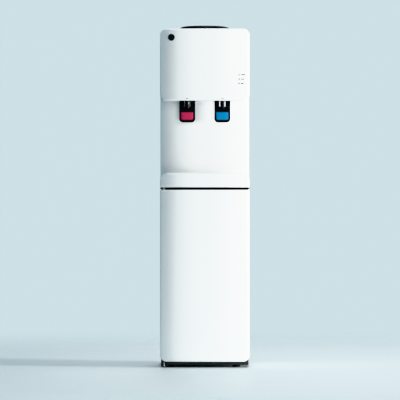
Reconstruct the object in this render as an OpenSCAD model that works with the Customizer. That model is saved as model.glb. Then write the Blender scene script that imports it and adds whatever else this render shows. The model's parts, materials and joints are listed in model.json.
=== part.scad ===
// Floor-standing water dispenser with two taps, a bottle collar on top and a small refrigerated cabinet
// below. Millimetres. The origin is on the floor under the middle of the whole body, the front faces -Y
// and +X is right.

/* [Overall size] */
// Width over the bowed front panels
front_w = 310; // [280:1:340]
// Step from the front panels' edge in to the sheet casing, each side
casing_step = 3; // [2:0.5:5]
// Depth from the middle of the bowed front to the back of the condenser
depth = 350; // [346:1:380]
// Room between the casing's back and the condenser's outer face
rear_reach = 25; // [22:1:32]

/* [Heights] */
// Height of the feet
foot_h = 8; // [7:1:12]
// Height of the black plinth above the feet
plinth_h = 26; // [22:1:30]
// Gap between the floor and the door
door_clear = 21; // [21:1:24]
// Height of the door
door_h = 596; // [560:1:640]
// Black gap between the door and the tray front
line_gap = 8; // [7:0.5:12]
// Height of the tray front
tray_h = 50; // [44:1:60]
// Height of the open bay for the glass
bay_h = 250.5; // [230:0.5:290]
// Height of the head
head_h = 249.5; // [240:0.5:280]
// Height of the bottle collar above the head
collar_rise = 19; // [15:1:26]
// Height of the top cover's sides
cover_h = 47; // [40:1:60]

/* [Front panels] */
// How far the middle of a front panel stands ahead of its sides
bow = 18; // [8:1:20]
// How flat the middle of a front panel is: 2 is an even bow, more is flatter with rounder sides
bow_power = 3; // [2:0.5:4]
// Rounding of a front panel's edges
edge_r = 8; // [5:0.5:10]
// Corner radius of the head and of the door's foot
corner_r = 22; // [14:1:30]
// Radius of the tray front's upper corners
tray_corner_r = 25; // [14:1:32]
// Radius of the nearly square corners
square_r = 2; // [1:0.5:4]
// Wall of the plastic mouldings
wall = 3; // [2:0.25:4]
// Thickness of the casing's sheet steel
sheet = 1.5; // [1:0.25:2.5]
// Depth of the head and tray front mouldings
fascia_d = 30; // [28:1:36]
// How far the tap panel stands back from the front of the head
bay_d = 103; // [95:1:110]

/* [Door] */
// Thickness of the door at its middle
door_t = 45; // [40:1:50]
// Space between the door and the cabinet for the gasket
gasket_gap = 8; // [6:0.5:12]
// Width of the gasket
gasket_w = 12; // [8:1:16]
// Radius of the hinge pins
hinge_pin_r = 4; // [3:0.25:5]
// Length of a hinge pin inside the door
hinge_pin_l = 11; // [8:1:16]
// Distance of the hinge axis from the door's left edge
hinge_inset = 10; // [8:0.5:14]
// Distance of the hinge axis ahead of the door's back
hinge_fore = 10; // [8:0.5:14]
// Thickness of the hinge plates
hinge_plate = 3; // [2:0.5:4]

/* [Refrigerated cabinet] */
// Thickness of the foam round the cabinet's sides
foam_side = 30; // [22:1:36]
// Thickness of the foam above and below the cabinet
foam_end = 36; // [30:1:44]
// Thickness of the cabinet's liner
liner_t = 2; // [1.5:0.25:3]
// Depth from the casing's back to the foam's back
duct_d = 40; // [36:1:46]
// Height of the machine space above the plinth
machine_h = 221; // [210:1:240]
// Depth of the machine space ahead of the casing's back
machine_d = 138; // [134:1:146]
// Height of the shelf above the cabinet's floor
shelf_up = 260; // [240:1:300]

/* [Taps] */
// Distance of each tap from the middle
tap_x = 61.3; // [52:0.1:70]
// Distance from the tap panel forward to the nozzle's axis
tap_fore = 40; // [38:0.5:44]
// Height of the tap shank above the head's underside
shank_up = 22.5; // [20:0.5:26]
// Radius of the tap shank
shank_r = 8; // [6:0.25:9]
// Radius of the tap barrel
barrel_r = 10; // [9:0.25:11]
// Radius of the nozzle
nozzle_r = 6.3; // [5:0.1:7]
// Length of the nozzle below the head's underside
nozzle_drop = 25.5; // [20:0.5:32]
// Radius of the water way
way_r = 4; // [2.5:0.25:4.5]
// Radius of the valve stem
stem_r = 2.5; // [2:0.1:3]
// Radius of the lever's pivot pin
pivot_r = 2; // [1.5:0.1:2.5]
// Distance of the pivot ahead of the stem
pivot_fore = 14; // [13:0.5:18]

/* [Push levers] */
// Width of a lever's paddle
paddle_w = 55; // [46:1:60]
// Length of the paddle below the head's underside
paddle_drop = 74; // [60:1:84]
// Thickness of the paddle
paddle_t = 4; // [3:0.25:5]
// Corner radius at the paddle's foot
paddle_r = 10; // [5:0.5:14]
// Half the width of the notch round the nozzle
notch_half = 11; // [10.5:0.25:11.5]
// Depth of the notch below the head's underside
notch_drop = 21.5; // [16:0.5:26]
// Width of the coloured insert
insert_w = 41.5; // [30:0.5:44]
// Height of the coloured insert
insert_h = 27; // [18:0.5:34]
// Distance of the insert above the paddle's foot
insert_up = 6; // [4:0.5:9]

/* [Tray] */
// Width of the drip tray
tray_w = 244; // [200:1:260]
// Depth of the drip tray from front to back
tray_d = 61; // [50:1:62]
// Thickness of the drip tray's wall
tub_t = 2; // [1.5:0.25:3]
// Width of a slot in the grille
slot_w = 4.5; // [3:0.5:6]
// Distance between slots
slot_pitch = 9; // [8:0.5:12]

/* [Bottle collar] */
// Room between the collar's rim and the edge of the top cover
collar_margin = 6; // [5:1:12]
// Width of the collar's rounded shoulder
shoulder_w = 14; // [10:1:20]
// Radius of the bottle's neck in the collar
neck_r = 30; // [27:0.5:34]
// Length of the neck's straight wall
neck_l = 35; // [25:1:45]

/* [Tanks] */
// Clearance between the cold tank's foam and the back panel
tank_clear = 2; // [1:0.5:6]
// Thickness of the foam round the cold tank
tank_foam_t = 7.4; // [5:0.2:10]
// Height of the cold tank
cold_tank_h = 226; // [200:1:232]
// Radius of the hot tank
hot_tank_r = 55; // [45:1:60]
// Height of the hot tank
hot_tank_h = 150; // [120:1:160]
// Wall of the tanks
tank_t = 2; // [1:0.25:3]
// Turns of the evaporator coil
coil_turns = 6; // [4:1:10]
// Radius of the evaporator's tube
coil_tube_r = 3.5; // [2.5:0.25:3.75]

/* [Condenser] */
// Half the width of the condenser
condenser_half = 118; // [100:1:124]
// Radius of the condenser's tube
condenser_r = 2.6; // [2.2:0.1:3.2]
// Distance between the condenser's runs
run_pitch = 40; // [36:1:44]
// Number of runs
runs = 9; // [5:2:9]
// Radius of the condenser's wires
wire_r = 0.9; // [0.7:0.1:1.2]
// Number of wires on each face of the condenser
wires = 18; // [8:1:24]

/* [Machine space] */
// Radius of the compressor's shell
compressor_r = 58; // [50:1:60]
// Height of the compressor's shell
compressor_h = 140; // [120:1:150]

/* [Fits] */
// Radial clearance of a running fit
run_fit = 0.05; // [0.02:0.01:0.1]
// Clearance between pieces that move past each other
slack = 0.3; // [0.2:0.05:0.5]

/* [Hidden] */
$fn = 48;

// Colours
white = "whitesmoke";
black = [0.1, 0.1, 0.11];
zinc = "silver";
copper = [0.72, 0.45, 0.3];
steel = "lightsteelblue";
crimson = [0.75, 0.14, 0.32];
blue = [0.05, 0.5, 0.78];

// Places along Y
front = -depth / 2;
casing_back = depth / 2 - rear_reach;
fascia_back = front + fascia_d;
panel_front = front + bay_d;
panel_back = panel_front + fascia_d;
door_back = front + door_t;
cabinet_face = door_back + gasket_gap;
foam_front = cabinet_face + liner_t;
back_panel_y = casing_back - sheet;
tap_y = panel_front - tap_fore;
bottle_y = (panel_back + casing_back) / 2;
collar_r = (casing_back - panel_back) / 2 - collar_margin;
crest_r = collar_r - shoulder_w;

// Places along Z
plinth_top = foot_h + plinth_h;
door_top = door_clear + door_h;
tray_bottom = door_top + line_gap;
tray_top = tray_bottom + tray_h;
head_bottom = tray_top + bay_h;
head_top = head_bottom + head_h;
cover_bottom = head_top - cover_h;
shank_z = head_bottom + shank_up;
barrel_top = shank_z + 18;
pivot_z = barrel_top + 10;
pivot_y = tap_y - pivot_fore;
finger_r = 2.5;
finger_z = pivot_z + 4;

// Half widths
front_half = front_w / 2;
case_half = front_half - casing_step;
inner_half = case_half - sheet;
cavity_half = inner_half - foam_side;

// Sampling of the bowed panels
arc_steps = 7;
flat_steps = 18;
round_steps = 3;

// A box between three pairs of limits
module block(x, y, z) {
    translate([x[0], y[0], z[0]]) cube([x[1] - x[0], y[1] - y[0], z[1] - z[0]]);
}

// Both copies of something, left and right
module both_sides() {
    for (side = [-1, 1]) translate([side * tap_x, 0, 0]) children();
}

// A rod along X or Y between two limits
module rod_x(r, x) {
    translate([x[0], 0, 0]) rotate([0, 90, 0]) cylinder(r = r, h = x[1] - x[0]);
}
module rod_y(r, y) {
    translate([0, y[1], 0]) rotate([90, 0, 0]) cylinder(r = r, h = y[1] - y[0]);
}

// Outline of a front face with one radius above and one below
module face_outline(half, z0, z1, r_top, r_foot) {
    translate([-half, z0 + r_foot]) square([2 * half, z1 - z0 - r_top - r_foot]);
    translate([-half + r_foot, z0]) square([2 * (half - r_foot), r_foot]);
    translate([-half + r_top, z1 - r_top]) square([2 * (half - r_top), r_top]);
    for (s = [-1, 1]) {
        translate([s * (half - r_foot), z0 + r_foot]) circle(r_foot);
        translate([s * (half - r_top), z1 - r_top]) circle(r_top);
    }
}

// The same outline as a prism between two places along Y
module face_prism(half, z0, z1, r_top, r_foot, y) {
    translate([0, y[1], 0]) rotate([90, 0, 0]) linear_extrude(y[1] - y[0])
        face_outline(half, z0, z1, r_top, r_foot);
}

// One edge of a rounded face from left to right, as [x, z]; side is 1 for the top and -1 for the foot
function edge_run(half, z, r, side) = [
    for (i = [0:arc_steps]) let(a = 180 - 90 * i / arc_steps)
        [-half + r + r * cos(a), z + side * (r * sin(a) - r)],
    for (i = [1:flat_steps - 1]) [(half - r) * (2 * i / flat_steps - 1), z],
    for (i = [0:arc_steps]) let(a = 90 - 90 * i / arc_steps)
        [half - r + r * cos(a), z + side * (r * sin(a) - r)]
];

// A closed ring round the face, drawn in by inset
function face_ring(half, z0, z1, r_top, r_foot, inset) = let(
    top = edge_run(half - inset, z1 - inset, max(r_top - inset, square_r / 4), 1),
    foot = edge_run(half - inset, z0 + inset, max(r_foot - inset, square_r / 4), -1)
) concat(top, [for (i = [len(foot) - 1:-1:0]) foot[i]]);

// Place along Y of the bowed face at x
function bowed_y(y, half, x) = y + bow * pow(abs(x) / half, bow_power);

// Outline of a bowed face with rolled sides, seen from above
function bow_outline(half, y, y_back, r) = concat(
    [[-half, y_back]],
    [for (k = [0:round_steps]) let(a = 90 * k / round_steps, x = r * (1 - cos(a)) - half)
        [x, bowed_y(y, half, x) + r * (1 - sin(a))]],
    [for (i = [1:flat_steps - 1]) let(x = (half - r) * (2 * i / flat_steps - 1)) [x, bowed_y(y, half, x)]],
    [for (k = [round_steps:-1:0]) let(a = 90 * k / round_steps, x = half - r * (1 - cos(a)))
        [x, bowed_y(y, half, x) + r * (1 - sin(a))]],
    [[half, y_back]]
);

// Rings of a bowed, edge-rounded skin: from the flat back, round the edge, to the rim of the face
function skin_rings(half, z0, z1, r_top, r_foot, y, r, y_back) = concat(
    [[for (p = face_ring(half, z0, z1, r_top, r_foot, 0)) [p[0], y_back, p[1]]]],
    [for (k = [0:round_steps]) let(a = 90 * k / round_steps)
        [for (p = face_ring(half, z0, z1, r_top, r_foot, r * (1 - cos(a))))
            [p[0], bowed_y(y, half, p[0]) + r * (1 - sin(a)), p[1]]]]
);

function flat_list(lists) = [for (l = lists) for (p = l) p];

// Triangles between ring a and ring b of n points; flip turns them over
function band(a, b, n, flip) = flat_list([for (i = [0:n - 1]) let(j = (i + 1) % n)
    flip ? [[a + i, b + i, a + j], [a + j, b + i, b + j]]
         : [[a + i, a + j, b + i], [a + j, b + j, b + i]]]);

// Triangles that close a ring with strips between its top and its foot
function cap(a, n, flip) = let(m = n / 2) flat_list([for (i = [0:m - 2])
    let(t0 = a + i, t1 = a + i + 1, f0 = a + n - 1 - i, f1 = a + n - 2 - i)
    flip ? [[t0, f0, t1], [t1, f0, f1]] : [[t0, t1, f0], [t1, f1, f0]]]);

// A solid bowed panel with a flat back
module bowed_slab(half, z0, z1, r_top, r_foot, y, y_back) {
    rings = skin_rings(half, z0, z1, r_top, r_foot, y, edge_r, y_back);
    n = len(rings[0]);
    last = (len(rings) - 1) * n;
    polyhedron(flat_list(rings), concat(
        cap(0, n, false),
        flat_list([for (k = [0:len(rings) - 2]) band(k * n, (k + 1) * n, n, true)]),
        cap(last, n, true)
    ));
}

// A bowed moulding of even wall, open at its back
module bowed_shell(half, z0, z1, r_top, r_foot, y, y_back) {
    outer = skin_rings(half, z0, z1, r_top, r_foot, y, edge_r, y_back);
    inner = skin_rings(half - wall, z0 + wall, z1 - wall, max(r_top - wall, square_r / 2),
        max(r_foot - wall, square_r / 2), y + wall, edge_r - wall, y_back);
    n = len(outer[0]);
    k_last = len(outer) - 1;
    start = len(outer) * n;
    polyhedron(concat(flat_list(outer), flat_list(inner)), concat(
        flat_list([for (k = [0:k_last - 1]) band(k * n, (k + 1) * n, n, true)]),
        cap(k_last * n, n, true),
        flat_list([for (k = [0:k_last - 1]) band(start + k * n, start + (k + 1) * n, n, false)]),
        cap(start + k_last * n, n, false),
        band(0, start, n, false)
    ));
}

function unit(v) = v / norm(v);
// Direction of a path at point i
function path_dir(path, i) =
    unit(path[min(i + 1, len(path) - 1)] - path[max(i - 1, 0)]);

// A tube swept along a path; up is a direction that the path never takes
module swept_tube(path, r, up, sides = 8) {
    n = len(path);
    points = [for (i = [0:n - 1]) let(d = path_dir(path, i), u = unit(cross(d, up)), v = cross(d, u))
        for (k = [0:sides - 1]) path[i] + r * (u * cos(360 * k / sides) + v * sin(360 * k / sides))];
    polyhedron(points, concat(
        [[for (k = [0:sides - 1]) k]],
        flat_list([for (i = [0:n - 2]) band(i * sides, (i + 1) * sides, sides, true)]),
        [[for (k = [sides - 1:-1:0]) (n - 1) * sides + k]]
    ));
}

// An arc of points in the plane of a and b, from a to b about a corner, for a bend of radius r
function bend(p, q, s, r, steps = 4) = let(
    a = unit(p - q), b = unit(s - q), half_turn = acos(a * b) / 2,
    reach = r / tan(half_turn), centre = q + unit(a + b) * r / sin(half_turn),
    u = (q + a * reach) - centre, w = (q + b * reach) - centre, sweep = 180 - 2 * half_turn
) [for (i = [0:steps]) let(t = i / steps)
    centre + (u * sin((1 - t) * sweep) + w * sin(t * sweep)) / sin(sweep)];

// A path with every inner corner bent to radius r
function bent_path(points, r) = concat([points[0]],
    flat_list([for (i = [1:len(points) - 2]) bend(points[i - 1], points[i], points[i + 1], r)]),
    [points[len(points) - 1]]);

// Base and feet
foot_r = 14;
foot_inset = 42;
foot_x = case_half - foot_inset;
foot_y = [cabinet_face + 27, casing_back - 25];
plinth_wall = 3;

module base_pan() {
    color(black) difference() {
        union() {
            block([-case_half, case_half], [cabinet_face, casing_back], [foot_h, foot_h + plinth_wall]);
            difference() {
                block([-case_half, case_half], [cabinet_face, casing_back], [foot_h, plinth_top]);
                block([plinth_wall - case_half, case_half - plinth_wall],
                    [cabinet_face + plinth_wall, casing_back - plinth_wall], [foot_h - 1, plinth_top + 1]);
            }
            for (x = [-foot_x, foot_x], y = foot_y)
                translate([x, y, foot_h]) cylinder(r = foot_r - 2, h = plinth_h);
        }
        for (x = [-foot_x, foot_x], y = foot_y)
            translate([x, y, foot_h - 1]) cylinder(r = foot_stud_r, h = plinth_h + 2);
    }
}

foot_stud_r = 5;
module feet() {
    color(black) for (x = [-foot_x, foot_x], y = foot_y) translate([x, y, 0]) {
        rotate_extrude() polygon([
            [0, 0], [foot_r - 1, 0], [foot_r, 1], [foot_r, foot_h - 4], [foot_r - 4, foot_h - 1],
            [foot_r - 4, foot_h], [foot_stud_r, foot_h], [foot_stud_r, foot_h + 9], [0, foot_h + 9]
        ]);
    }
}

// Sheet casing
flange_w = 12;

module side_sheet(side) {
    outer = side * case_half;
    inner = side * inner_half;
    lip = side * (inner_half - flange_w);
    x = [min(outer, inner), max(outer, inner)];
    block(x, [cabinet_face, casing_back], [plinth_top, tray_bottom]);
    block(x, [panel_back, casing_back], [tray_bottom, cover_bottom]);
    block([min(outer, lip), max(outer, lip)], [casing_back - sheet, casing_back],
        [plinth_top, cover_bottom]);
}
module left_side_panel() {
    color(white) side_sheet(-1);
}
module right_side_panel() {
    color(white) side_sheet(1);
}

machine_top = plinth_top + machine_h;
louvre_w = 60;
louvre_x = inner_half - 80.5;
louvre_h = 5;
louvre_pitch = 14;
drain_inset = 60.5;
drain_x = -(inner_half - drain_inset);
drain_up = 44;
drain_z = tray_bottom + drain_up;
drain_cap_r = 12;
gland_inset = 34.5;
gland_x = inner_half - gland_inset;
gland_z = machine_top + 18;
gland_r = 9;
bezel_inset = 45.5;
bezel_x = -(inner_half - bezel_inset);
bezel_down = 50;
bezel_z = cover_bottom - bezel_down;
bezel_w = 56;
bezel_h = 34;
bezel_rim = 4;

module back_panel() {
    color(zinc) difference() {
        block([-inner_half, inner_half], [back_panel_y - sheet, back_panel_y], [machine_top, cover_bottom]);
        for (side = [-1, 1], i = [0:6])
            block([side * louvre_x - louvre_w / 2, side * louvre_x + louvre_w / 2],
                [back_panel_y - 5, back_panel_y + 5],
                [tray_top + 60 + i * louvre_pitch, tray_top + 60 + i * louvre_pitch + louvre_h]);
        translate([drain_x, 0, drain_z]) rod_y(hose_r + slack, [back_panel_y - 5, back_panel_y + 5]);
        translate([gland_x, 0, gland_z]) rod_y(gland_r, [back_panel_y - 5, back_panel_y + 5]);
        block([bezel_x - bezel_w / 2 + bezel_rim, bezel_x + bezel_w / 2 - bezel_rim],
            [back_panel_y - 5, back_panel_y + 5],
            [bezel_z - bezel_h / 2 + bezel_rim, bezel_z + bezel_h / 2 - bezel_rim]);
    }
}

collar_hole_r = collar_r - 8;
module top_cover() {
    color(white) difference() {
        face_prism(case_half, cover_bottom, head_top, corner_r, 0.01, [panel_back, casing_back]);
        face_prism(case_half - wall, cover_bottom - 1, head_top - wall, corner_r - wall, 0.01,
            [panel_back - 1, casing_back - wall]);
        translate([0, bottle_y, head_top - 2 * wall]) cylinder(r = collar_hole_r, h = 4 * wall);
    }
}

// Head
lamp_inset = 36;
lamp_x = front_half - lamp_inset;
lamp_r = 1.6;
lamp_up = 59.5;
lamp_pitch = 15;
lamp_z = [for (i = [0:2]) head_bottom + lamp_up + lamp_pitch * i];
board_y = fascia_back;
board_t = 1.6;
window_half = paddle_w / 2 + 3;
window_y = [pivot_y - 12, panel_front - 2];

module head_front() {
    color(white) difference() {
        bowed_shell(front_half, head_bottom, head_top, corner_r, corner_r, front, fascia_back);
        for (z = lamp_z) translate([lamp_x, 0, z]) rod_y(lamp_r + run_fit, [front, fascia_back - 5]);
    }
}

// Blocks that carry the tap panel's face on behind the round corners of its neighbours
module corner_blocks(z, reach) {
    difference() {
        translate([0, 0, z[0]]) linear_extrude(z[1] - z[0])
            polygon(bow_outline(front_half, panel_front, panel_back, edge_r));
        block([reach - front_half, front_half - reach], [panel_front - 1, panel_back + 1], [z[0] - 1, z[1] + 1]);
    }
}

module head_body() {
    color(white) {
        corner_blocks([head_bottom, head_bottom + corner_r], corner_r + wall);
        difference() {
            face_prism(front_half, head_bottom, head_top, corner_r, corner_r, [fascia_back, panel_back]);
            face_prism(front_half - wall, head_bottom + wall, head_top - wall, corner_r - wall,
                corner_r - wall, [fascia_back - 1, panel_back + 1]);
            both_sides() block([-window_half, window_half], window_y,
                [head_bottom - 1, head_bottom + wall + 1]);
        }
        difference() {
            face_prism(front_half - wall / 2, head_bottom + wall / 2, head_top - wall / 2,
                corner_r - wall / 2, corner_r - wall / 2, [panel_front, panel_front + wall]);
            both_sides() translate([0, 0, shank_z])
                rod_y(shank_r + run_fit, [panel_front - 1, panel_front + wall + 1]);
        }
        block([lamp_x - 20, front_half - wall / 2], [fascia_back + board_t, fascia_back + board_t + wall],
            [lamp_z[0] - 12, lamp_z[2] + 12]);
    }
}

module indicator_lenses() {
    color("palegreen") for (z = lamp_z) translate([lamp_x, 0, z])
        rod_y(lamp_r, [bowed_y(front, front_half, lamp_x) - 0.2, fascia_back]);
}
module indicator_board() {
    color("darkgreen") block([lamp_x - 14, lamp_x + 18], [board_y, board_y + board_t],
        [lamp_z[0] - 9, lamp_z[2] + 9]);
}

// Bay
module tap_panel() {
    color(white) translate([0, 0, tray_top]) linear_extrude(bay_h) difference() {
        polygon(bow_outline(front_half, panel_front, panel_back, edge_r));
        polygon(bow_outline(front_half - wall, panel_front + wall, panel_back + 1, edge_r - wall));
    }
}

// Tray
tub_front = front + fascia_d + 5;
pocket_x = tray_w / 2;
pocket_y = [tub_front, tub_front + tray_d];
pocket_z = tray_bottom + 7;
tub_top = tray_top - 7;

module tray_front() {
    color(white)
        bowed_shell(front_half, tray_bottom, tray_top, tray_corner_r, square_r, front, fascia_back);
}
module tray_carrier() {
    color(white) {
        corner_blocks([tray_top - tray_corner_r, tray_top], tray_corner_r + wall);
        difference() {
            face_prism(front_half, tray_bottom, tray_top, tray_corner_r, square_r, [fascia_back, panel_back]);
            block([-pocket_x, pocket_x], pocket_y, [pocket_z, tray_top + 1]);
        }
    }
}
module drip_tray() {
    x = [-pocket_x + slack, pocket_x - slack];
    y = [pocket_y[0] + slack, pocket_y[1] - slack];
    color(black) difference() {
        block(x, y, [pocket_z, tub_top]);
        block([x[0] + tub_t, x[1] - tub_t], [y[0] + tub_t, y[1] - tub_t], [pocket_z + tub_t, tub_top + 1]);
    }
}
grille_t = 3;
slots = floor((tray_w - 20) / slot_pitch);
module drip_grille() {
    color(black) translate([0, 0, tub_top]) linear_extrude(grille_t) difference() {
        translate([-pocket_x + slack, pocket_y[0] + slack]) square([tray_w - 2 * slack, tray_d - 2 * slack]);
        for (i = [0:slots - 1])
            translate([(i - (slots - 1) / 2) * slot_pitch - slot_w / 2, pocket_y[0] + 8])
                square([slot_w, tray_d - 16]);
    }
}
channel_left = -case_half + 28;
module handle_channel() {
    color(black) block([channel_left, case_half - 2], [door_back - 10, foam_front + 20],
        [tray_bottom - line_gap + 2, tray_bottom]);
}

// Taps
seat_z = shank_z - 16;
chamber_r = barrel_r - 3;
disc_r = chamber_r - 0.6;
disc_t = 5;
bonnet_t = 8;
lug_half = notch_half - 1;
shank_end = panel_front + 28;

module tap_bodies() {
    color(black) both_sides() difference() {
        union() {
            translate([0, tap_y, head_bottom + 0.5])
                cylinder(r = barrel_r, h = barrel_top - head_bottom - 0.5);
            translate([0, tap_y, head_bottom - nozzle_drop])
                cylinder(r = nozzle_r, h = nozzle_drop + 1);
            translate([0, 0, shank_z]) rod_y(shank_r, [tap_y + barrel_r / 2, shank_end]);
            translate([0, 0, shank_z]) rod_y(shank_r + 4, [panel_front - 5, panel_front]);
        }
        translate([0, tap_y, head_bottom - nozzle_drop - 1]) cylinder(r = way_r, h = nozzle_drop + shank_up);
        translate([0, tap_y, seat_z]) cylinder(r = chamber_r, h = barrel_top - seat_z + 1);
        translate([0, 0, shank_z]) rod_y(way_r, [tap_y, shank_end + 1]);
    }
}
module tap_bonnets() {
    color(black) both_sides() {
        difference() {
            union() {
                translate([0, tap_y, barrel_top]) cylinder(r = barrel_r, h = bonnet_t);
                block([-lug_half, lug_half], [pivot_y - 4, tap_y - 6],
                    [barrel_top + 1, barrel_top + bonnet_t]);
                block([-lug_half, lug_half], [pivot_y - 4, pivot_y + 4],
                    [barrel_top + 1, pivot_z + pivot_r + 2]);
                translate([0, pivot_y, pivot_z])
                    rod_x(pivot_r, [-notch_half - lever_arm_t - 1, notch_half + lever_arm_t + 1]);
            }
            translate([0, tap_y, barrel_top - 1]) cylinder(r = stem_r + run_fit, h = bonnet_t + 2);
        }
    }
}
module tap_nuts() {
    color(zinc) both_sides() translate([0, 0, shank_z]) difference() {
        translate([0, panel_front + wall + 8, 0]) rotate([90, 0, 0])
            cylinder(r = shank_r + 6, h = 8, $fn = 6);
        rod_y(shank_r + run_fit, [panel_front, panel_front + wall + 9]);
    }
}

spring_turns = 6;
spring_wire_r = 0.6;
spring_r = 4.4;
spring_foot = seat_z + 0.1 + disc_t + spring_wire_r + 0.05;
spring_head = barrel_top - spring_wire_r - 0.05;
module valve_spring(side) {
    path = [for (i = [0:spring_turns * 8]) let(t = i / 8)
        [side * tap_x + spring_r * cos(360 * t), tap_y + spring_r * sin(360 * t),
            spring_foot + (spring_head - spring_foot) * t / spring_turns]];
    swept_tube(path, spring_wire_r, [0, 0, 1], 6);
}
module hot_tap_spring() {
    color(zinc) valve_spring(-1);
}
module cold_tap_spring() {
    color(zinc) valve_spring(1);
}

module plunger(side) {
    translate([side * tap_x, tap_y, 0]) {
        translate([0, 0, seat_z + 0.1]) cylinder(r = disc_r, h = disc_t);
        translate([0, 0, seat_z + 1]) cylinder(r = stem_r, h = finger_z + finger_r + slack - seat_z);
        translate([0, 0, finger_z + finger_r + slack]) cylinder(r = 6, h = 3);
    }
}
module hot_plunger() {
    color(zinc) plunger(-1);
}
module cold_plunger() {
    color(zinc) plunger(1);
}

// Push levers
lever_arm_t = 5;
paddle_back = tap_y + 12;
paddle_front = paddle_back - paddle_t;
paddle_foot = head_bottom - paddle_drop;
paddle_top = head_bottom + 14;
insert_z = [paddle_foot + insert_up, paddle_foot + insert_up + insert_h];
pocket_t = 1;
insert_proud = 1;
insert_r = paddle_r - 5;

module lever(side) {
    translate([side * tap_x, 0, 0]) difference() {
        union() {
            difference() {
                face_prism(paddle_w / 2, paddle_foot, paddle_top, 3, paddle_r, [paddle_front, paddle_back]);
                block([-notch_half, notch_half], [paddle_front - 1, paddle_back + 1],
                    [head_bottom - notch_drop, paddle_top + 1]);
                face_prism(insert_w / 2 + 0.1, insert_z[0] - 0.1, insert_z[1] + 0.1, 1, insert_r,
                    [paddle_front - 1, paddle_front + pocket_t]);
            }
            for (s = [-1, 1]) {
                x = [min(s * (notch_half + 0.2), s * (notch_half + lever_arm_t)),
                    max(s * (notch_half + 0.2), s * (notch_half + lever_arm_t))];
                block(x, [paddle_front, paddle_back], [paddle_top - 4, finger_z]);
                block(x, [pivot_y - 5, paddle_back], [pivot_z - 5, finger_z + finger_r]);
                translate([0, tap_y, finger_z])
                    rod_x(finger_r, [min(s * (stem_r + 1), s * (notch_half + 1)),
                        max(s * (stem_r + 1), s * (notch_half + 1))]);
            }
        }
        translate([0, pivot_y, pivot_z]) rod_x(pivot_r + run_fit, [-paddle_w, paddle_w]);
    }
}
module hot_lever() {
    color(black) lever(-1);
}
module cold_lever() {
    color(black) lever(1);
}

module insert(side) {
    translate([side * tap_x, 0, 0])
        face_prism(insert_w / 2, insert_z[0], insert_z[1], 1, insert_r,
            [paddle_front - insert_proud, paddle_front + pocket_t]);
}
module hot_insert() {
    color(crimson) insert(-1);
}
module cold_insert() {
    color(blue) insert(1);
}

// Bottle collar
neck_wall = 3;
neck_depth = 75;
neck_foot = head_top - neck_depth;
seat_r = collar_hole_r - 4;
seat_depth = 12;
crest_w = 5;
module bottle_collar() {
    color(black) translate([0, bottle_y, 0]) rotate_extrude($fn = 96) polygon([
        [neck_r + neck_wall, neck_foot], [neck_r + neck_wall, neck_foot + neck_l],
        [seat_r, head_top - seat_depth], [seat_r, head_top], [collar_r, head_top],
        [collar_r, head_top + 0.15 * collar_rise], [collar_r - 3, head_top + 0.42 * collar_rise],
        [crest_r + 6, head_top + 0.75 * collar_rise], [crest_r + 2, head_top + 0.95 * collar_rise],
        [crest_r, head_top + collar_rise], [crest_r - crest_w, head_top + collar_rise],
        [crest_r - 2 * crest_w + 1, head_top + 0.8 * collar_rise],
        [neck_r, neck_foot + neck_l], [neck_r, neck_foot]
    ]);
}

// Tanks
lid_t = 8;
coil_gap = 0.8;
coil_steps = 24;
foam_out = back_panel_y - sheet - bottle_y - tank_clear;
foam_in = foam_out - tank_foam_t;
coil_r = foam_in - coil_gap - coil_tube_r;
cold_tank_r = coil_r - coil_tube_r - coil_gap;
neck_dip = 19.5;
upper_shelf_z = neck_foot + neck_dip - lid_t - sheet - cold_tank_h;
lower_shelf_z = tray_bottom + 60;
port_x = 30;
hose_r = 5;
hose_fit = 0.3;
tube_r = hose_r - hose_fit;
drop_x = foam_out + hose_r + 6;
cold_top = upper_shelf_z + sheet + cold_tank_h;
module cold_tank() {
    color(steel) translate([0, bottle_y, upper_shelf_z + sheet]) difference() {
        cylinder(r = cold_tank_r, h = cold_tank_h);
        translate([0, 0, tank_t]) cylinder(r = cold_tank_r - tank_t, h = cold_tank_h);
        for (x = [-port_x, port_x]) translate([x, 0, -1]) cylinder(r = hose_r, h = tank_t + 2);
    }
}
module cold_tank_lid() {
    color("white") translate([0, bottle_y, cold_top]) difference() {
        cylinder(r = cold_tank_r, h = lid_t);
        translate([0, 0, -1]) cylinder(r = neck_r + neck_wall + 2, h = lid_t + 2);
    }
}
module cold_tank_foam() {
    color("ivory") translate([0, bottle_y, upper_shelf_z + sheet]) difference() {
        cylinder(r = foam_out, h = cold_tank_h - 20);
        translate([0, 0, -1]) cylinder(r = foam_in, h = cold_tank_h);
    }
}
coil_h = 0.7 * cold_tank_h;
module evaporator_coil() {
    path = [for (i = [0:coil_turns * coil_steps]) let(t = i / coil_steps)
        [coil_r * cos(360 * t), bottle_y + coil_r * sin(360 * t),
            upper_shelf_z + 25 + coil_h * t / coil_turns]];
    color(copper) swept_tube(path, coil_tube_r, [0, 0, 1], 6);
}
module hot_tank() {
    color(steel) translate([0, bottle_y, lower_shelf_z + sheet]) difference() {
        cylinder(r = hot_tank_r, h = hot_tank_h);
        translate([0, 0, tank_t]) cylinder(r = hot_tank_r - tank_t, h = hot_tank_h - 2 * tank_t);
    }
}
band_h = 40;
band_t = 4;
thermostat_r = 9;
module heater_band() {
    color(zinc) translate([0, bottle_y, lower_shelf_z + 40]) {
        difference() {
            cylinder(r = hot_tank_r + band_t, h = band_h);
            translate([0, 0, -1]) cylinder(r = hot_tank_r + run_fit, h = band_h + 2);
        }
        for (z = [0.3, 0.7]) translate([0, 0, z * band_h])
            rod_y(thermostat_r, [-hot_tank_r - band_t - 6, -hot_tank_r - 2]);
    }
}
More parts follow.
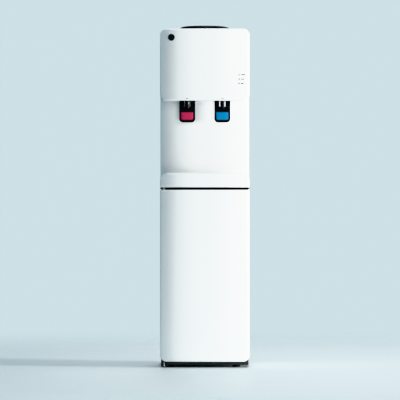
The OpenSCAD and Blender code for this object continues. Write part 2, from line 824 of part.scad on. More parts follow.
module tank_shelves() {
    color(zinc) {
        difference() {
            block([-inner_half, inner_half], [panel_back, back_panel_y - sheet],
                [upper_shelf_z, upper_shelf_z + sheet]);
            for (p = [[-port_x, 0], [port_x, 0], [drop_x, 0], [-drop_x, -20]])
                translate([p[0], bottle_y + p[1], upper_shelf_z - 1]) cylinder(r = hose_r + 2, h = 5);
        }
        difference() {
            block([-inner_half, inner_half], [panel_back, back_panel_y - sheet],
                [lower_shelf_z, lower_shelf_z + sheet]);
            translate([drain_x, bottle_y, lower_shelf_z - 1]) cylinder(r = hose_r + 2, h = 5);
        }
    }
}

// Hoses
hot_top = lower_shelf_z + sheet + hot_tank_h;
cold_floor = upper_shelf_z + sheet + tank_t;
module cold_tube() {
    color("gainsboro") swept_tube(bent_path([
        [tap_x, shank_end, shank_z], [tap_x, shank_end + 14, shank_z],
        [drop_x, bottle_y - 40, shank_z - 10], [drop_x, bottle_y, shank_z - 30],
        [drop_x, bottle_y, upper_shelf_z - 20], [port_x, bottle_y, upper_shelf_z - 20],
        [port_x, bottle_y, cold_floor]
    ], 10), tube_r, [0.3, 1, 0.2]);
}
module hot_tube() {
    color("gainsboro") swept_tube(bent_path([
        [-tap_x, shank_end, shank_z], [-tap_x, shank_end + 14, shank_z],
        [-drop_x, bottle_y - 40, shank_z - 10], [-drop_x, bottle_y - 20, shank_z - 30],
        [-drop_x, bottle_y - 20, hot_top + 16],
        [-20, bottle_y - 20, hot_top + 16], [-20, bottle_y - 20, hot_top]
    ], 10), tube_r, [0.3, 1, 0.2]);
}
module transfer_tube() {
    middle = (upper_shelf_z + hot_top) / 2;
    color("gainsboro") swept_tube(bent_path([
        [-port_x, bottle_y, cold_floor], [-port_x, bottle_y, middle + 4],
        [port_x / 2, bottle_y + 20, middle - 4], [port_x / 2, bottle_y + 20, hot_top]
    ], 8), tube_r, [0.3, 1, 0.2]);
}
module drain_tube() {
    color("gainsboro") swept_tube(bent_path([
        [-hot_tank_r, bottle_y, lower_shelf_z + 14], [drain_x, bottle_y, lower_shelf_z + 14],
        [drain_x, bottle_y, drain_z], [drain_x, casing_back + 14, drain_z]
    ], 10), tube_r, [0.5, 0.1, 0.7]);
}
module drain_plug() {
    color(black) translate([drain_x, 0, drain_z]) difference() {
        rod_y(drain_cap_r, [casing_back + 2, casing_back + 17]);
        rod_y(hose_r, [casing_back + 1, casing_back + 15]);
    }
}

// Refrigerated cabinet
cavity_z = [plinth_top + foam_end, tray_bottom - foam_end];
cavity_step_z = machine_top + foam_side;
foam_back = casing_back - duct_d;
machine_y = casing_back - machine_d;
cavity_back = foam_back - foam_side + 7;
cavity_low_back = machine_y - foam_side;

// Side profile of the cavity as [y, z], grown by g
function cavity_profile(g) = [
    [foam_front - 5, cavity_z[0] - g], [cavity_low_back + g, cavity_z[0] - g],
    [cavity_low_back + g, cavity_step_z - g], [cavity_back + g, cavity_step_z - g],
    [cavity_back + g, cavity_z[1] + g], [foam_front - 5, cavity_z[1] + g]
];
// A side profile given as [y, z], carried between two places along X
module side_prism(points, half) {
    translate([-half, 0, 0]) rotate([90, 0, 90]) linear_extrude(2 * half) polygon(points);
}
module cabinet_insulation() {
    color("ivory") difference() {
        side_prism([
            [foam_front, plinth_top], [machine_y, plinth_top], [machine_y, machine_top],
            [foam_back, machine_top], [foam_back, tray_bottom], [foam_front, tray_bottom]
        ], inner_half);
        side_prism(cavity_profile(liner_t), cavity_half + liner_t);
        block([channel_left - 1, case_half + 1], [foam_front - 1, foam_front + 20 + 1],
            [tray_bottom - line_gap + 1, tray_bottom + 1]);
    }
}
rib_w = 6;
shelf_z = cavity_z[0] + shelf_up;
module cabinet_liner() {
    color("white") {
        difference() {
            union() {
                intersection() {
                    side_prism(cavity_profile(liner_t), cavity_half + liner_t);
                    block([-front_w, front_w], [foam_front - 1, casing_back], [0, head_top]);
                }
                block([-inner_half, inner_half], [cabinet_face, foam_front],
                    [plinth_top + 4, tray_bottom - line_gap - 4]);
            }
            side_prism(cavity_profile(0), cavity_half);
        }
        for (s = [-1, 1], z = [shelf_z - 4, shelf_z + 40])
            block([min(s * cavity_half, s * (cavity_half - rib_w)),
                max(s * cavity_half, s * (cavity_half - rib_w))],
                [foam_front + 20, cavity_back], [z, z + 4]);
    }
}
module cabinet_shelf() {
    color([0.7, 0.85, 0.9, 0.5]) block([-cavity_half + slack, cavity_half - slack],
        [foam_front + 26, cavity_back - slack], [shelf_z, shelf_z + 4]);
}

// Machine space
compressor_inset = 122;
compressor_x = -(case_half - compressor_inset);
compressor_y = (machine_y + casing_back) / 2 - 2;
grommet_h = 12;
seam_proud = 2;
pan_floor = foot_h + plinth_wall;
mount_x = compressor_r - 6;
mount_y = 36;
mount_r = 5;
plate_rim = 10;
seam_z = compressor_h / 2;
module compressor() {
    color(black) translate([compressor_x, compressor_y, pan_floor + grommet_h]) {
        rotate_extrude() polygon(concat(
            [[0, 4], [compressor_r - 10, 4], [compressor_r - 3, 12], [compressor_r, 20],
                [compressor_r, seam_z - 4],
                [compressor_r + seam_proud, seam_z - 4], [compressor_r + seam_proud, seam_z]],
            [for (i = [0:6]) let(a = 15 * i) [compressor_r * cos(a), seam_z * (1 + sin(a))]],
            [[0, compressor_h]]
        ));
        difference() {
            block([-mount_x - plate_rim, mount_x + plate_rim],
                [-mount_y - plate_rim, mount_y + plate_rim], [0, 3]);
            for (x = [-mount_x, mount_x], y = [-mount_y, mount_y])
                translate([x, y, -1]) cylinder(r = mount_r, h = 6);
        }
        translate([0, 0, 2]) cylinder(r = compressor_r - 18, h = 6);
    }
}
module compressor_grommets() {
    color("dimgray") for (x = [-mount_x, mount_x], y = [-mount_y, mount_y])
        translate([compressor_x + x, compressor_y + y, pan_floor]) {
            cylinder(r = 2 * mount_r, h = grommet_h);
            cylinder(r = mount_r - 0.4, h = grommet_h + 7);
        }
}
relay_x = compressor_x + compressor_r + seam_proud + 0.3;
relay_size = [28, 40, 50];
module relay_cover() {
    color(black) block([relay_x, relay_x + relay_size[0]],
        [compressor_y - relay_size[1] / 2, compressor_y + relay_size[1] / 2],
        [pan_floor + 50, pan_floor + 50 + relay_size[2]]);
}
drier_inset = 42;
drier_r = 10;
drier_cone = 12;
line_r = 4;
module filter_drier() {
    color(copper) translate([case_half - drier_inset, compressor_y, 0]) rotate_extrude() polygon([
        [0, pan_floor], [line_r, pan_floor], [line_r, pan_floor + 30],
        [drier_r, pan_floor + 30 + drier_cone],
        [drier_r, machine_top - 70 - drier_cone], [line_r, machine_top - 70], [line_r, machine_top],
        [0, machine_top]
    ]);
}

// Condenser
condenser_y = depth / 2 - condenser_r - 2 * wire_r;
condenser_z = machine_top + 32;
bend_r = run_pitch / 2;
bracket_t = 2.5;
function run_points(i) = let(
    s = i % 2 == 0 ? 1 : -1, z = condenser_z + i * run_pitch, x = condenser_half - bend_r
)
    concat([[-s * x, condenser_y, z], [s * x, condenser_y, z]],
        i == runs - 1 ? [] : [for (k = [1:5]) let(a = -90 + 30 * k)
            [s * (x + bend_r * cos(a)), condenser_y, z + bend_r + bend_r * sin(a)]]);
module condenser_tube() {
    color([0.15, 0.15, 0.16])
        swept_tube(flat_list([for (i = [0:runs - 1]) run_points(i)]), condenser_r, [0, 1, 0]);
}
module condenser_wires() {
    span = 2 * (condenser_half - bend_r - 4);
    color([0.15, 0.15, 0.16]) for (i = [0:wires - 1], s = [-1, 1])
        translate([span * (i / (wires - 1) - 0.5), condenser_y + s * (condenser_r + wire_r), condenser_z - 12])
            cylinder(r = wire_r, h = (runs - 1) * run_pitch + 24, $fn = 8);
}
module condenser_brackets() {
    color([0.15, 0.15, 0.16]) for (x = [-1, 1], i = [1, runs - 2])
        translate([x * (condenser_half - bend_r - bracket_t / 2), 0, condenser_z + i * run_pitch])
            difference() {
                block([-bracket_t / 2, bracket_t / 2], [back_panel_y, condenser_y],
                    [-condenser_r - 3, condenser_r + 3]);
                translate([0, condenser_y, 0]) rod_x(condenser_r + 0.1, [-10, 10]);
            }
}

// Rear fittings
rocker_r = 9.5;
rocker_w = 14;
rocker_x = 12;
rocker_y = casing_back + 1;
module switch_bezel() {
    color(black) translate([bezel_x, 0, 0]) difference() {
        union() {
            block([-bezel_w / 2, bezel_w / 2], [back_panel_y, back_panel_y + 4],
                [bezel_z - bezel_h / 2, bezel_z + bezel_h / 2]);
            block([-bezel_w / 2 + bezel_rim + 0.1, bezel_w / 2 - bezel_rim - 0.1],
                [rocker_y - rocker_r - 4, back_panel_y + 1],
                [bezel_z - bezel_h / 2 + bezel_rim + 0.1, bezel_z + bezel_h / 2 - bezel_rim - 0.1]);
        }
        for (s = [-1, 1]) block([s * rocker_x - rocker_w / 2 - slack, s * rocker_x + rocker_w / 2 + slack],
            [rocker_y - rocker_r - 2, back_panel_y + 9],
            [bezel_z - rocker_r - slack, bezel_z + rocker_r + slack]);
        translate([0, rocker_y, bezel_z])
            rod_x(pivot_r + run_fit, [-rocker_x - rocker_w / 2 - 3, rocker_x + rocker_w / 2 + 3]);
    }
}
module rocker(side) {
    translate([bezel_x + side * rocker_x, rocker_y, bezel_z]) {
        difference() {
            rod_x(rocker_r, [-rocker_w / 2, rocker_w / 2]);
            rotate([12, 0, 0]) block([-20, 20], [4, 20], [0, 20]);
            rotate([-12, 0, 0]) block([-20, 20], [4, 20], [-20, 0]);
        }
        rod_x(pivot_r, [-rocker_w / 2 - 2, rocker_w / 2 + 2]);
    }
}
module hot_switch() {
    color("red") rocker(-1);
}
module cold_switch() {
    color("green") rocker(1);
}
gland_bore = 4;
module cable_gland() {
    color(black) translate([gland_x, 0, gland_z]) difference() {
        union() {
            rod_y(gland_r - 0.1, [back_panel_y - sheet - 4, back_panel_y + 1]);
            rod_y(gland_r + 4, [back_panel_y, back_panel_y + 3]);
            rod_y(gland_r - 2, [back_panel_y, back_panel_y + 10]);
        }
        rod_y(gland_bore, [back_panel_y - 20, back_panel_y + 20]);
    }
}

// Door and hinges
hinge_x = -front_half + hinge_inset;
hinge_y = door_back - hinge_fore;
washer_r = hinge_pin_r + 3;
hinge_reach = 20;
module hinge_plate_outline() {
    translate([hinge_x, hinge_y]) circle(washer_r + 1);
    translate([hinge_x - washer_r, hinge_y]) square([2 * washer_r + 6, cabinet_face + hinge_reach - hinge_y]);
}
module upper_hinge() {
    color(black) {
        translate([0, 0, tray_bottom - hinge_plate]) linear_extrude(hinge_plate) intersection() {
            hinge_plate_outline();
            translate([-case_half, front]) square([case_half, cabinet_face - front]);
        }
        translate([hinge_x, hinge_y, door_top - hinge_pin_l])
            cylinder(r = hinge_pin_r, h = hinge_pin_l + line_gap - hinge_plate + 1);
        translate([hinge_x, hinge_y, door_top + slack])
            cylinder(r = washer_r, h = line_gap - hinge_plate - slack + 1);
    }
}
module lower_hinge() {
    color(black) {
        translate([0, 0, foot_h - hinge_plate]) linear_extrude(hinge_plate) intersection() {
            hinge_plate_outline();
            translate([-case_half, front]) square([case_half, depth]);
        }
        translate([hinge_x, hinge_y, foot_h - 1])
            cylinder(r = hinge_pin_r, h = door_clear - foot_h + 1 + hinge_pin_l);
        translate([hinge_x, hinge_y, foot_h - 1]) cylinder(r = washer_r, h = door_clear - foot_h + 1 - slack);
    }
}
module door_panel() {
    color(white) difference() {
        bowed_slab(front_half, door_clear, door_top, square_r, corner_r, front, door_back);
        translate([hinge_x, hinge_y, door_clear - 1]) cylinder(r = hinge_pin_r + run_fit, h = hinge_pin_l + 3);
        translate([hinge_x, hinge_y, door_top - hinge_pin_l - 2])
            cylinder(r = hinge_pin_r + run_fit, h = hinge_pin_l + 3);
    }
}
cap_t = 1.2;
module door_cap() {
    points = [for (i = [-10:10]) let(x = i * (front_half - 25) / 10)
        [x, bowed_y(front, front_half, x) + edge_r + 1]];
    color(black) translate([0, 0, door_top]) linear_extrude(cap_t) polygon(concat(points,
        [[front_half - 25, door_back - 1], [-front_half + 25, door_back - 1]]));
}
gasket_step = 5;
gasket_half = cavity_half + gasket_step + gasket_w;
gasket_z = [cavity_z[0] - gasket_step - gasket_w, cavity_z[1] + gasket_step + gasket_w];
module door_gasket() {
    color("gainsboro") difference() {
        block([-gasket_half, gasket_half], [door_back, cabinet_face - slack], gasket_z);
        block([-gasket_half + gasket_w, gasket_half - gasket_w], [door_back - 1, cabinet_face + 1],
            [gasket_z[0] + gasket_w, gasket_z[1] - gasket_w]);
    }
}
liner_gap = 8;
liner_rim = 8;
liner_d = 20;
liner_half = cavity_half - liner_gap;
pockets = 2;
pocket_pitch = (cavity_z[1] - cavity_z[0] - 2 * liner_gap - liner_rim) / pockets;
module door_liner() {
    color("white") difference() {
        block([-liner_half, liner_half], [door_back, door_back + liner_d],
            [cavity_z[0] + liner_gap, cavity_z[1] - liner_gap]);
        for (i = [0:pockets - 1]) let(z = cavity_z[0] + liner_gap + liner_rim + i * pocket_pitch)
            block([liner_rim - liner_half, liner_half - liner_rim],
                [door_back + 6, door_back + liner_d + 1],
                [z, z + pocket_pitch - liner_rim]);
    }
}

base_pan();
feet();
left_side_panel();
right_side_panel();
back_panel();
top_cover();
head_front();
head_body();
tap_panel();
tray_front();
tray_carrier();
handle_channel();
indicator_lenses();
indicator_board();
tap_bodies();
tap_bonnets();
tap_nuts();
hot_tap_spring();
cold_tap_spring();
cold_tank();
cold_tank_lid();
cold_tank_foam();
evaporator_coil();
hot_tank();
heater_band();
tank_shelves();
cold_tube();
hot_tube();
transfer_tube();
drain_tube();
cabinet_liner();
cabinet_insulation();
cabinet_shelf();
compressor();
compressor_grommets();
relay_cover();
filter_drier();
condenser_tube();
condenser_wires();
condenser_brackets();
switch_bezel();
cable_gland();
upper_hinge();
lower_hinge();
door_panel();
door_cap();
door_liner();
door_gasket();
hot_lever();
cold_lever();
hot_insert();
cold_insert();
hot_plunger();
cold_plunger();
drip_tray();
drip_grille();
bottle_collar();
hot_switch();
cold_switch();
drain_plug();
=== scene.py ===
"""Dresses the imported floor-standing water dispenser for its picture.

Every length is in metres. The frame's origin is on the floor under the middle of the body, the front faces -Y and
+X is to the right.
"""
import json
import logging
from contextlib import contextmanager
from dataclasses import dataclass, field, replace
from enum import Enum
from functools import reduce
from typing import Callable, Iterator, Sequence, Union

import bmesh
import bpy
import numpy as np
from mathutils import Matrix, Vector

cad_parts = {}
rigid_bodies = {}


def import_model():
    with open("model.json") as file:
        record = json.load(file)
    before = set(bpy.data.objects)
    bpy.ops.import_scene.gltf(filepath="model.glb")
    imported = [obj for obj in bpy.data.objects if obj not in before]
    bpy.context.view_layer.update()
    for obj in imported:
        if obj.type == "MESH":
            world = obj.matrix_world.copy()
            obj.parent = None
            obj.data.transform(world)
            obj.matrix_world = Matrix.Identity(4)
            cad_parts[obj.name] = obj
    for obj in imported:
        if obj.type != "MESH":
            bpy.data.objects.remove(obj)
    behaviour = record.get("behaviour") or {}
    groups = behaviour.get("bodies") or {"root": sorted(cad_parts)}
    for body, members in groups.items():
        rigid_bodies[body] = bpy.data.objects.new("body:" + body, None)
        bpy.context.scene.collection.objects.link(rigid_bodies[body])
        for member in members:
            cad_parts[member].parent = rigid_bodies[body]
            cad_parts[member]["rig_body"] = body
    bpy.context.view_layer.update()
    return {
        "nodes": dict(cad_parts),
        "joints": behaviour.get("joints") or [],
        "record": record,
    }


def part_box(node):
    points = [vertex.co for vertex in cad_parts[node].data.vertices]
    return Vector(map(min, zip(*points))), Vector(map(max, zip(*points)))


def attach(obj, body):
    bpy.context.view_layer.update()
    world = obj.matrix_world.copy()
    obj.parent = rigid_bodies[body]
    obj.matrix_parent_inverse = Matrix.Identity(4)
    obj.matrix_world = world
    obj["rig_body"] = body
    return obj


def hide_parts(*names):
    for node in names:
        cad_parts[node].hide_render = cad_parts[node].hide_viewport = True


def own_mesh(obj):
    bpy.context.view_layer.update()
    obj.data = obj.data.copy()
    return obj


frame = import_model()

LOG = logging.getLogger("dispenser")
MM = 0.001
MERGE = 1e-6
PIN = 0.05 * MM  # Radius of a turned part's middle, which its end faces close.
LYING = (0, 2, 1)  # Axis order that lays what was turned round Z along Y.
FLAT, MADE_CREASE, CAD_CREASE = np.radians((0.5, 30, 32))  # Angles up to which an edge is flat or smooth.
Colour = tuple[float, float, float]
Corners = Sequence[tuple[float, float]]


# Shader maths


class Value:
    """A shader socket in an expression: each operator adds one Math node."""

    def __init__(self, graph: "Graph", socket: bpy.types.NodeSocket) -> None:
        """Wraps one output socket of a graph."""
        self.graph = graph
        self.socket = socket

    def _math(self, operation: str, other: "Operand") -> "Value":
        """The result of one Math node on this value and another operand."""
        return self.graph.value("ShaderNodeMath", {0: self, 1: other}, operation=operation)

    def __add__(self, other: "Operand") -> "Value":
        """Sum."""
        return self._math("ADD", other)

    def __sub__(self, other: "Operand") -> "Value":
        """Difference."""
        return self._math("SUBTRACT", other)

    def __mul__(self, other: "Operand") -> "Value":
        """Product."""
        return self._math("MULTIPLY", other)

    def __gt__(self, other: "Operand") -> "Value":
        """1 where this value is the larger one, else 0."""
        return self._math("GREATER_THAN", other)

    __radd__, __rmul__ = __add__, __mul__


Operand = Union[Value, float, tuple]


class Graph:
    """The node tree of one material in the making."""

    def __init__(self, name: str) -> None:
        """Starts a material with a Principled shader.

        Args:
            name: The material's name.
        """
        self.material = bpy.data.materials.new(name)
        self.material.use_nodes = True
        self.tree = self.material.node_tree
        self.tree.nodes.clear()
        self.shader = self.tree.nodes.new("ShaderNodeBsdfPrincipled")
        output = self.tree.nodes.new("ShaderNodeOutputMaterial")
        self.tree.links.new(self.shader.outputs[0], output.inputs[0])
        self.place = self.value("ShaderNodeTexCoord", {}, "Object")

    def feed(self, node: bpy.types.Node, inputs: dict[str | int, "Operand"]) -> None:
        """Links each socket of a node to its value, or sets it to its constant.

        Args:
            node: The node.
            inputs: Values or constants for its sockets, by name or number.
        """
        for name, operand in inputs.items():
            if isinstance(operand, Value):
                self.tree.links.new(operand.socket, node.inputs[name])
            else:
                node.inputs[name].default_value = operand

    def value(self, kind: str, inputs: dict[str | int, Operand], output: str | int = 0, **settings: str) -> Value:
        """One output of a new node.

        Args:
            kind: The node's type.
            inputs: Values or constants for its sockets, by name or number.
            output: The output's name or number.
            settings: The node's properties.

        Returns:
            The output.
        """
        node = self.tree.nodes.new(kind)
        for name, setting in settings.items():
            setattr(node, name, setting)
        self.feed(node, inputs)
        return Value(self, node.outputs[output])

    def stretched(self, scale: tuple[float, float, float]) -> Value:
        """The place on the object, scaled along each axis."""
        return self.value("ShaderNodeMapping", {"Vector": self.place, "Scale": scale})

    def noise(self, scale: float, detail: float, place: Value | None = None) -> Value:
        """Noise between 0 and 1, with scale clouds a metre and detail octaves, read at place or on the object."""
        inputs = {"Vector": place or self.place, "Scale": scale, "Detail": detail}
        return self.value("ShaderNodeTexNoise", inputs, "Fac")

    def cells(self, scale: float, output: str = "Distance", feature: str = "F1") -> Value:
        """One output of a Voronoi node, for grains, spangles and tracks."""
        return self.value("ShaderNodeTexVoronoi", {"Vector": self.place, "Scale": scale}, output, feature=feature)

    def tint(self, mask: Operand, low: Colour, high: Colour) -> Value:
        """The colour between low, where the mask is 0, and high, where it is 1."""
        return self.value("ShaderNodeMix", {0: mask, 6: (*low, 1.0), 7: (*high, 1.0)}, 2, data_type="RGBA")

    def bump(self, height: Value, distance: float) -> Value:
        """A normal from a height between 0 and 1 over a distance in metres."""
        return self.value("ShaderNodeBump", {"Distance": distance, "Height": height}, "Normal")


# Finishes


@dataclass(frozen=True)
class Finish:
    """A moulded or plain finish: colour with a slow drift, gloss with faint smudges, and a fine skin.

    The base colour drifts by a share of itself over clouds of hand size, the roughness by a little over
    smaller ones, and the skin is a noise of the given grain and height.
    """

    name: str
    colour: Colour
    roughness: float
    metallic: float = 0.0
    coat: float = 0.0
    drift: float = 0.03
    smudge: float = 0.05
    grains_per_metre: float = 1500.0
    grain_height: float = 0.01 * MM
    constants: tuple[tuple[str, float], ...] = ()
    clouds_per_metre: float = 9.0
    smudges_per_metre: float = 26.0

    def material(self) -> bpy.types.Material:
        """Builds the material.

        Returns:
            The material.
        """
        graph = Graph(self.name)
        graph.feed(graph.shader, {"Base Color": self.tone(graph), "Roughness": self.gloss(graph),
                                  "Metallic": self.metallic, "Coat Weight": self.coat,
                                  "Normal": graph.bump(self.relief(graph), self.grain_height),
                                  **dict(self.constants)})
        return graph.material

    def shade(self, factor: float) -> Colour:
        """The colour made lighter or darker by a factor."""
        return tuple(min(channel * factor, 1.0) for channel in self.colour)

    def tone(self, graph: Graph) -> Operand:
        """The colour, between a darker and a lighter shade of itself."""
        clouds = graph.noise(self.clouds_per_metre, 3.0)
        return graph.tint(clouds, self.shade(1 - self.drift), self.shade(1 + self.drift))

    def gloss(self, graph: Graph) -> Operand:
        """The roughness, raised where hands and cloths have dulled the surface."""
        return self.roughness + self.smudge * (graph.noise(self.smudges_per_metre, 5.0) - 0.5)

    def relief(self, graph: Graph) -> Value:
        """The skin's height between 0 and 1."""
        return graph.noise(self.grains_per_metre, 2.0)


@dataclass(frozen=True)
class PaintedSteel(Finish):
    """Powder coat on sheet: an orange-peel skin of two grains."""

    peel: float = 0.7

    def relief(self, graph: Graph) -> Value:
        """Coarse peel with a finer grain on it."""
        coarse, fine = (graph.noise(times * self.grains_per_metre, 1.0) for times in (1, 3))
        return self.peel * coarse + (1 - self.peel) * fine


@dataclass(frozen=True)
class DrawnMetal(Finish):
    """Metal with draw lines along one axis."""

    lines: tuple[float, float, float] = (900.0, 900.0, 12.0)

    def relief(self, graph: Graph) -> Value:
        """The lines' height."""
        return graph.noise(1.0, 3.0, graph.stretched(self.lines))

    def tone(self, graph: Graph) -> Operand:
        """The colour streaked along the lines."""
        return graph.tint(self.relief(graph), self.shade(1 - 2 * self.drift), self.shade(1 + self.drift))


@dataclass(frozen=True)
class ZincPlate(Finish):
    """Zinc with its spangle: each crystal has its own shade and gloss."""

    spangles_per_metre: float = 160.0
    darkest: float = 0.86
    palest: float = 1.1
    gloss_range: float = 0.16

    def crystal(self, graph: Graph, channel: int) -> Value:
        """A level between 0 and 1 for each crystal."""
        colour = graph.cells(self.spangles_per_metre, "Color")
        return graph.value("ShaderNodeSeparateColor", {0: colour}, channel)

    def tone(self, graph: Graph) -> Operand:
        """A shade for each crystal."""
        return graph.tint(self.crystal(graph, 0), self.shade(self.darkest), self.shade(self.palest))

    def gloss(self, graph: Graph) -> Operand:
        """A gloss for each crystal."""
        return self.roughness + self.gloss_range * (self.crystal(graph, 1) - 0.5)


@dataclass(frozen=True)
class RigidFoam(Finish):
    """Foam with a skin of small open cells."""

    def relief(self, graph: Graph) -> Value:
        """Pits at the cells."""
        return graph.cells(self.grains_per_metre)


@dataclass(frozen=True)
class CircuitGreen(Finish):
    """Solder mask over tracks."""

    tracks_per_metre: float = 420.0
    track_share: float = 0.06
    track_shade: float = 1.9

    def tone(self, graph: Graph) -> Operand:
        """Lighter where a track runs under the mask."""
        edge = graph.cells(self.tracks_per_metre, feature="DISTANCE_TO_EDGE")
        return graph.tint(edge > self.track_share, self.shade(self.track_shade), self.colour)


def constants(**sockets: float) -> tuple[tuple[str, float], ...]:
    """Sockets and their constants, with an underscore for each space in a socket's name."""
    return tuple((name.replace("_", " "), constant) for name, constant in sockets.items())


class Slot(Enum):
    """The finish of each material slot of the record."""

    WHITE_GLOSS = Finish("white_gloss", (0.86, 0.865, 0.87), 0.24, coat=0.35, drift=0.006, smudge=0.03,
                         grains_per_metre=700.0, grain_height=0.003 * MM, constants=constants(Coat_Roughness=0.12))
    WHITE_STEEL = PaintedSteel("white_steel", (0.78, 0.787, 0.795), 0.38, drift=0.012, grain_height=0.02 * MM)
    BLACK_PLASTIC = Finish("black_plastic", (0.0035, 0.0035, 0.0045), 0.42, drift=0.25, smudge=0.1,
                           grain_height=0.02 * MM, constants=constants(Specular_IOR_Level=0.16))
    CRIMSON_PLASTIC = Finish("crimson_plastic", (0.33, 0.028, 0.072), 0.35, coat=0.04, drift=0.05,
                             constants=constants(Specular_IOR_Level=0.28))
    BLUE_PLASTIC = Finish("blue_plastic", (0.001, 0.16, 0.345), 0.35, coat=0.04, drift=0.05,
                          constants=constants(Specular_IOR_Level=0.28))
    STAINLESS = DrawnMetal("stainless", (0.62, 0.63, 0.64), 0.3, 1.0)
    ZINC = ZincPlate("zinc", (0.56, 0.57, 0.58), 0.42, 0.9)
    COPPER = DrawnMetal("copper", (0.68, 0.33, 0.2), 0.34, 1.0, drift=0.08)
    BLACK_METAL = PaintedSteel("black_metal", (0.014, 0.014, 0.015), 0.42, drift=0.2, grain_height=0.03 * MM)
    FOAM = RigidFoam("foam", (0.74, 0.66, 0.46), 0.85, drift=0.08, grains_per_metre=600.0,
                     grain_height=0.3 * MM)
    RUBBER = Finish("rubber", (0.02, 0.02, 0.021), 0.7, drift=0.2, grain_height=0.05 * MM)
    GASKET_VINYL = Finish("gasket_vinyl", (0.62, 0.63, 0.64), 0.5, drift=0.04, grain_height=0.02 * MM)
    SILICONE = Finish("silicone", (0.72, 0.74, 0.74), 0.35,
                      constants=constants(Subsurface_Weight=0.3, Subsurface_Scale=2 * MM))
    LINER_PLASTIC = Finish("liner_plastic", (0.8, 0.81, 0.81), 0.3, drift=0.012)
    GLASS = Finish("glass", (0.86, 0.94, 0.93), 0.04, drift=0.01, smudge=0.02, grain_height=0.002 * MM,
                   constants=constants(Transmission_Weight=0.9, IOR=1.5))
    CIRCUIT_BOARD = CircuitGreen("circuit_board", (0.012, 0.11, 0.045), 0.35)
    LENS = Finish("lens", (0.36, 0.40, 0.38), 0.18, coat=0.5, drift=0.05,
                  constants=constants(Subsurface_Weight=0.2, Subsurface_Scale=1 * MM))
    RED_ROCKER = Finish("red_rocker", (0.55, 0.02, 0.02), 0.28, drift=0.05)
    GREEN_ROCKER = Finish("green_rocker", (0.015, 0.24, 0.06), 0.28, drift=0.05)


class Extra(Enum):
    """Finishes of small printed details that have no slot of their own."""

    PRINTED_GREY = Finish("printed_grey", (0.008, 0.009, 0.011), 0.7, drift=0.08)
    BLANK_BADGE = Finish("blank_badge", (0.01, 0.011, 0.013), 0.2, coat=0.6, drift=0.2)


# Surfaces


@dataclass
class Surface:
    """Points and faces of a mesh in the making; faces are arrays with one row a face."""

    points: np.ndarray
    faces: list[np.ndarray]

    def __add__(self, other: "Surface") -> "Surface":
        """Both surfaces as one."""
        shifted = [face + len(self.points) for face in other.faces]
        return Surface(np.vstack([self.points, other.points]), self.faces + shifted)

    def moved(self, x: float = 0.0, y: float = 0.0, z: float = 0.0) -> "Surface":
        """A copy moved by a distance along each axis."""
        return replace(self, points=self.points + np.array([x, y, z]))

    def turned(self, order: Sequence[int]) -> "Surface":
        """A copy with its axes swapped: axis k becomes the old axis order[k]."""
        return replace(self, points=self.points[:, list(order)])


def xyz(*axes: np.ndarray | float) -> np.ndarray:
    """Coordinates broadcast against each other and stacked as the last axis."""
    return np.stack(np.broadcast_arrays(*axes), axis=-1)


def quarter(steps: int) -> np.ndarray:
    """The angles of a quarter turn, from 0 on."""
    return np.linspace(0, np.pi / 2, steps + 1)


def circle(steps: int) -> np.ndarray:
    """The angles of a full turn, without its end."""
    return np.linspace(0, 2 * np.pi, steps, endpoint=False)


def joined(parts: Sequence[Surface]) -> Surface:
    """Several surfaces as one."""
    return reduce(Surface.__add__, parts)


def lattice(points: np.ndarray, around: bool = False, along: bool = False) -> Surface:
    """A grid of points with a quad between each four neighbours.

    Args:
        points: Array of rows x columns x 3.
        around: Whether the last column joins the first.
        along: Whether the last row joins the first.

    Returns:
        The surface.
    """
    rows, columns = points.shape[:2]
    i, j = np.meshgrid(np.arange(rows if along else rows - 1), np.arange(columns if around else columns - 1),
                       indexing="ij")
    down, right = (i + 1) % rows, (j + 1) % columns
    quads = np.stack([i * columns + j, i * columns + right, down * columns + right, down * columns + j], axis=-1)
    return Surface(points.reshape(-1, 3), [quads.reshape(-1, 4)])


def lidded(points: np.ndarray) -> Surface:
    """Rings of points joined round and closed with one flat face at each end.

    Args:
        points: Array of rings x points x 3.

    Returns:
        The surface.
    """
    surface = lattice(points, around=True)
    ends = np.arange(len(surface.points)).reshape(points.shape[:2])[[0, -1]]
    surface.faces += [ends[:1, ::-1], ends[1:]]
    return surface


def smooth_profile(corners: Corners, passes: int, closed: bool = False) -> np.ndarray:
    """A profile with its corners cut: each pass puts points at a quarter and three quarters of a side.

    Args:
        corners: The profile's corners.
        passes: Passes of cutting.
        closed: Whether the profile is a loop.

    Returns:
        The smoothed profile.
    """
    line = np.array(corners, dtype=float)
    for _ in range(passes):
        here, following = (line, np.roll(line, -1, axis=0)) if closed else (line[:-1], line[1:])
        cut = np.stack([0.75 * here + 0.25 * following, 0.25 * here + 0.75 * following], axis=1).reshape(-1, 2)
        line = cut if closed else np.vstack([line[:1], cut, line[-1:]])
    return line


def revolved(profile: Corners, steps: int, passes: int = 0, closed: bool = False) -> Surface:
    """A profile turned round Z: x = r cos t, y = r sin t, z = height.

    Args:
        profile: Pairs of radius and height.
        steps: Points round.
        passes: How often the profile's corners are cut.
        closed: Whether the profile is a loop; otherwise its two ends are closed with flat faces.

    Returns:
        The surface.
    """
    radius, height = smooth_profile(profile, passes, closed).T[..., None]
    turn = circle(steps)
    points = xyz(radius * np.cos(turn), radius * np.sin(turn), height)
    return lattice(points, around=True, along=True) if closed else lidded(points)


def hoop(inner: float, outer: float, low: float, high: float, steps: int = 48, passes: int = 0) -> Surface:
    """A ring about Z between two radii and two heights, with its corners cut as often as passes says."""
    return revolved([(inner, low), (outer, low), (outer, high), (inner, high)], steps, passes, True)


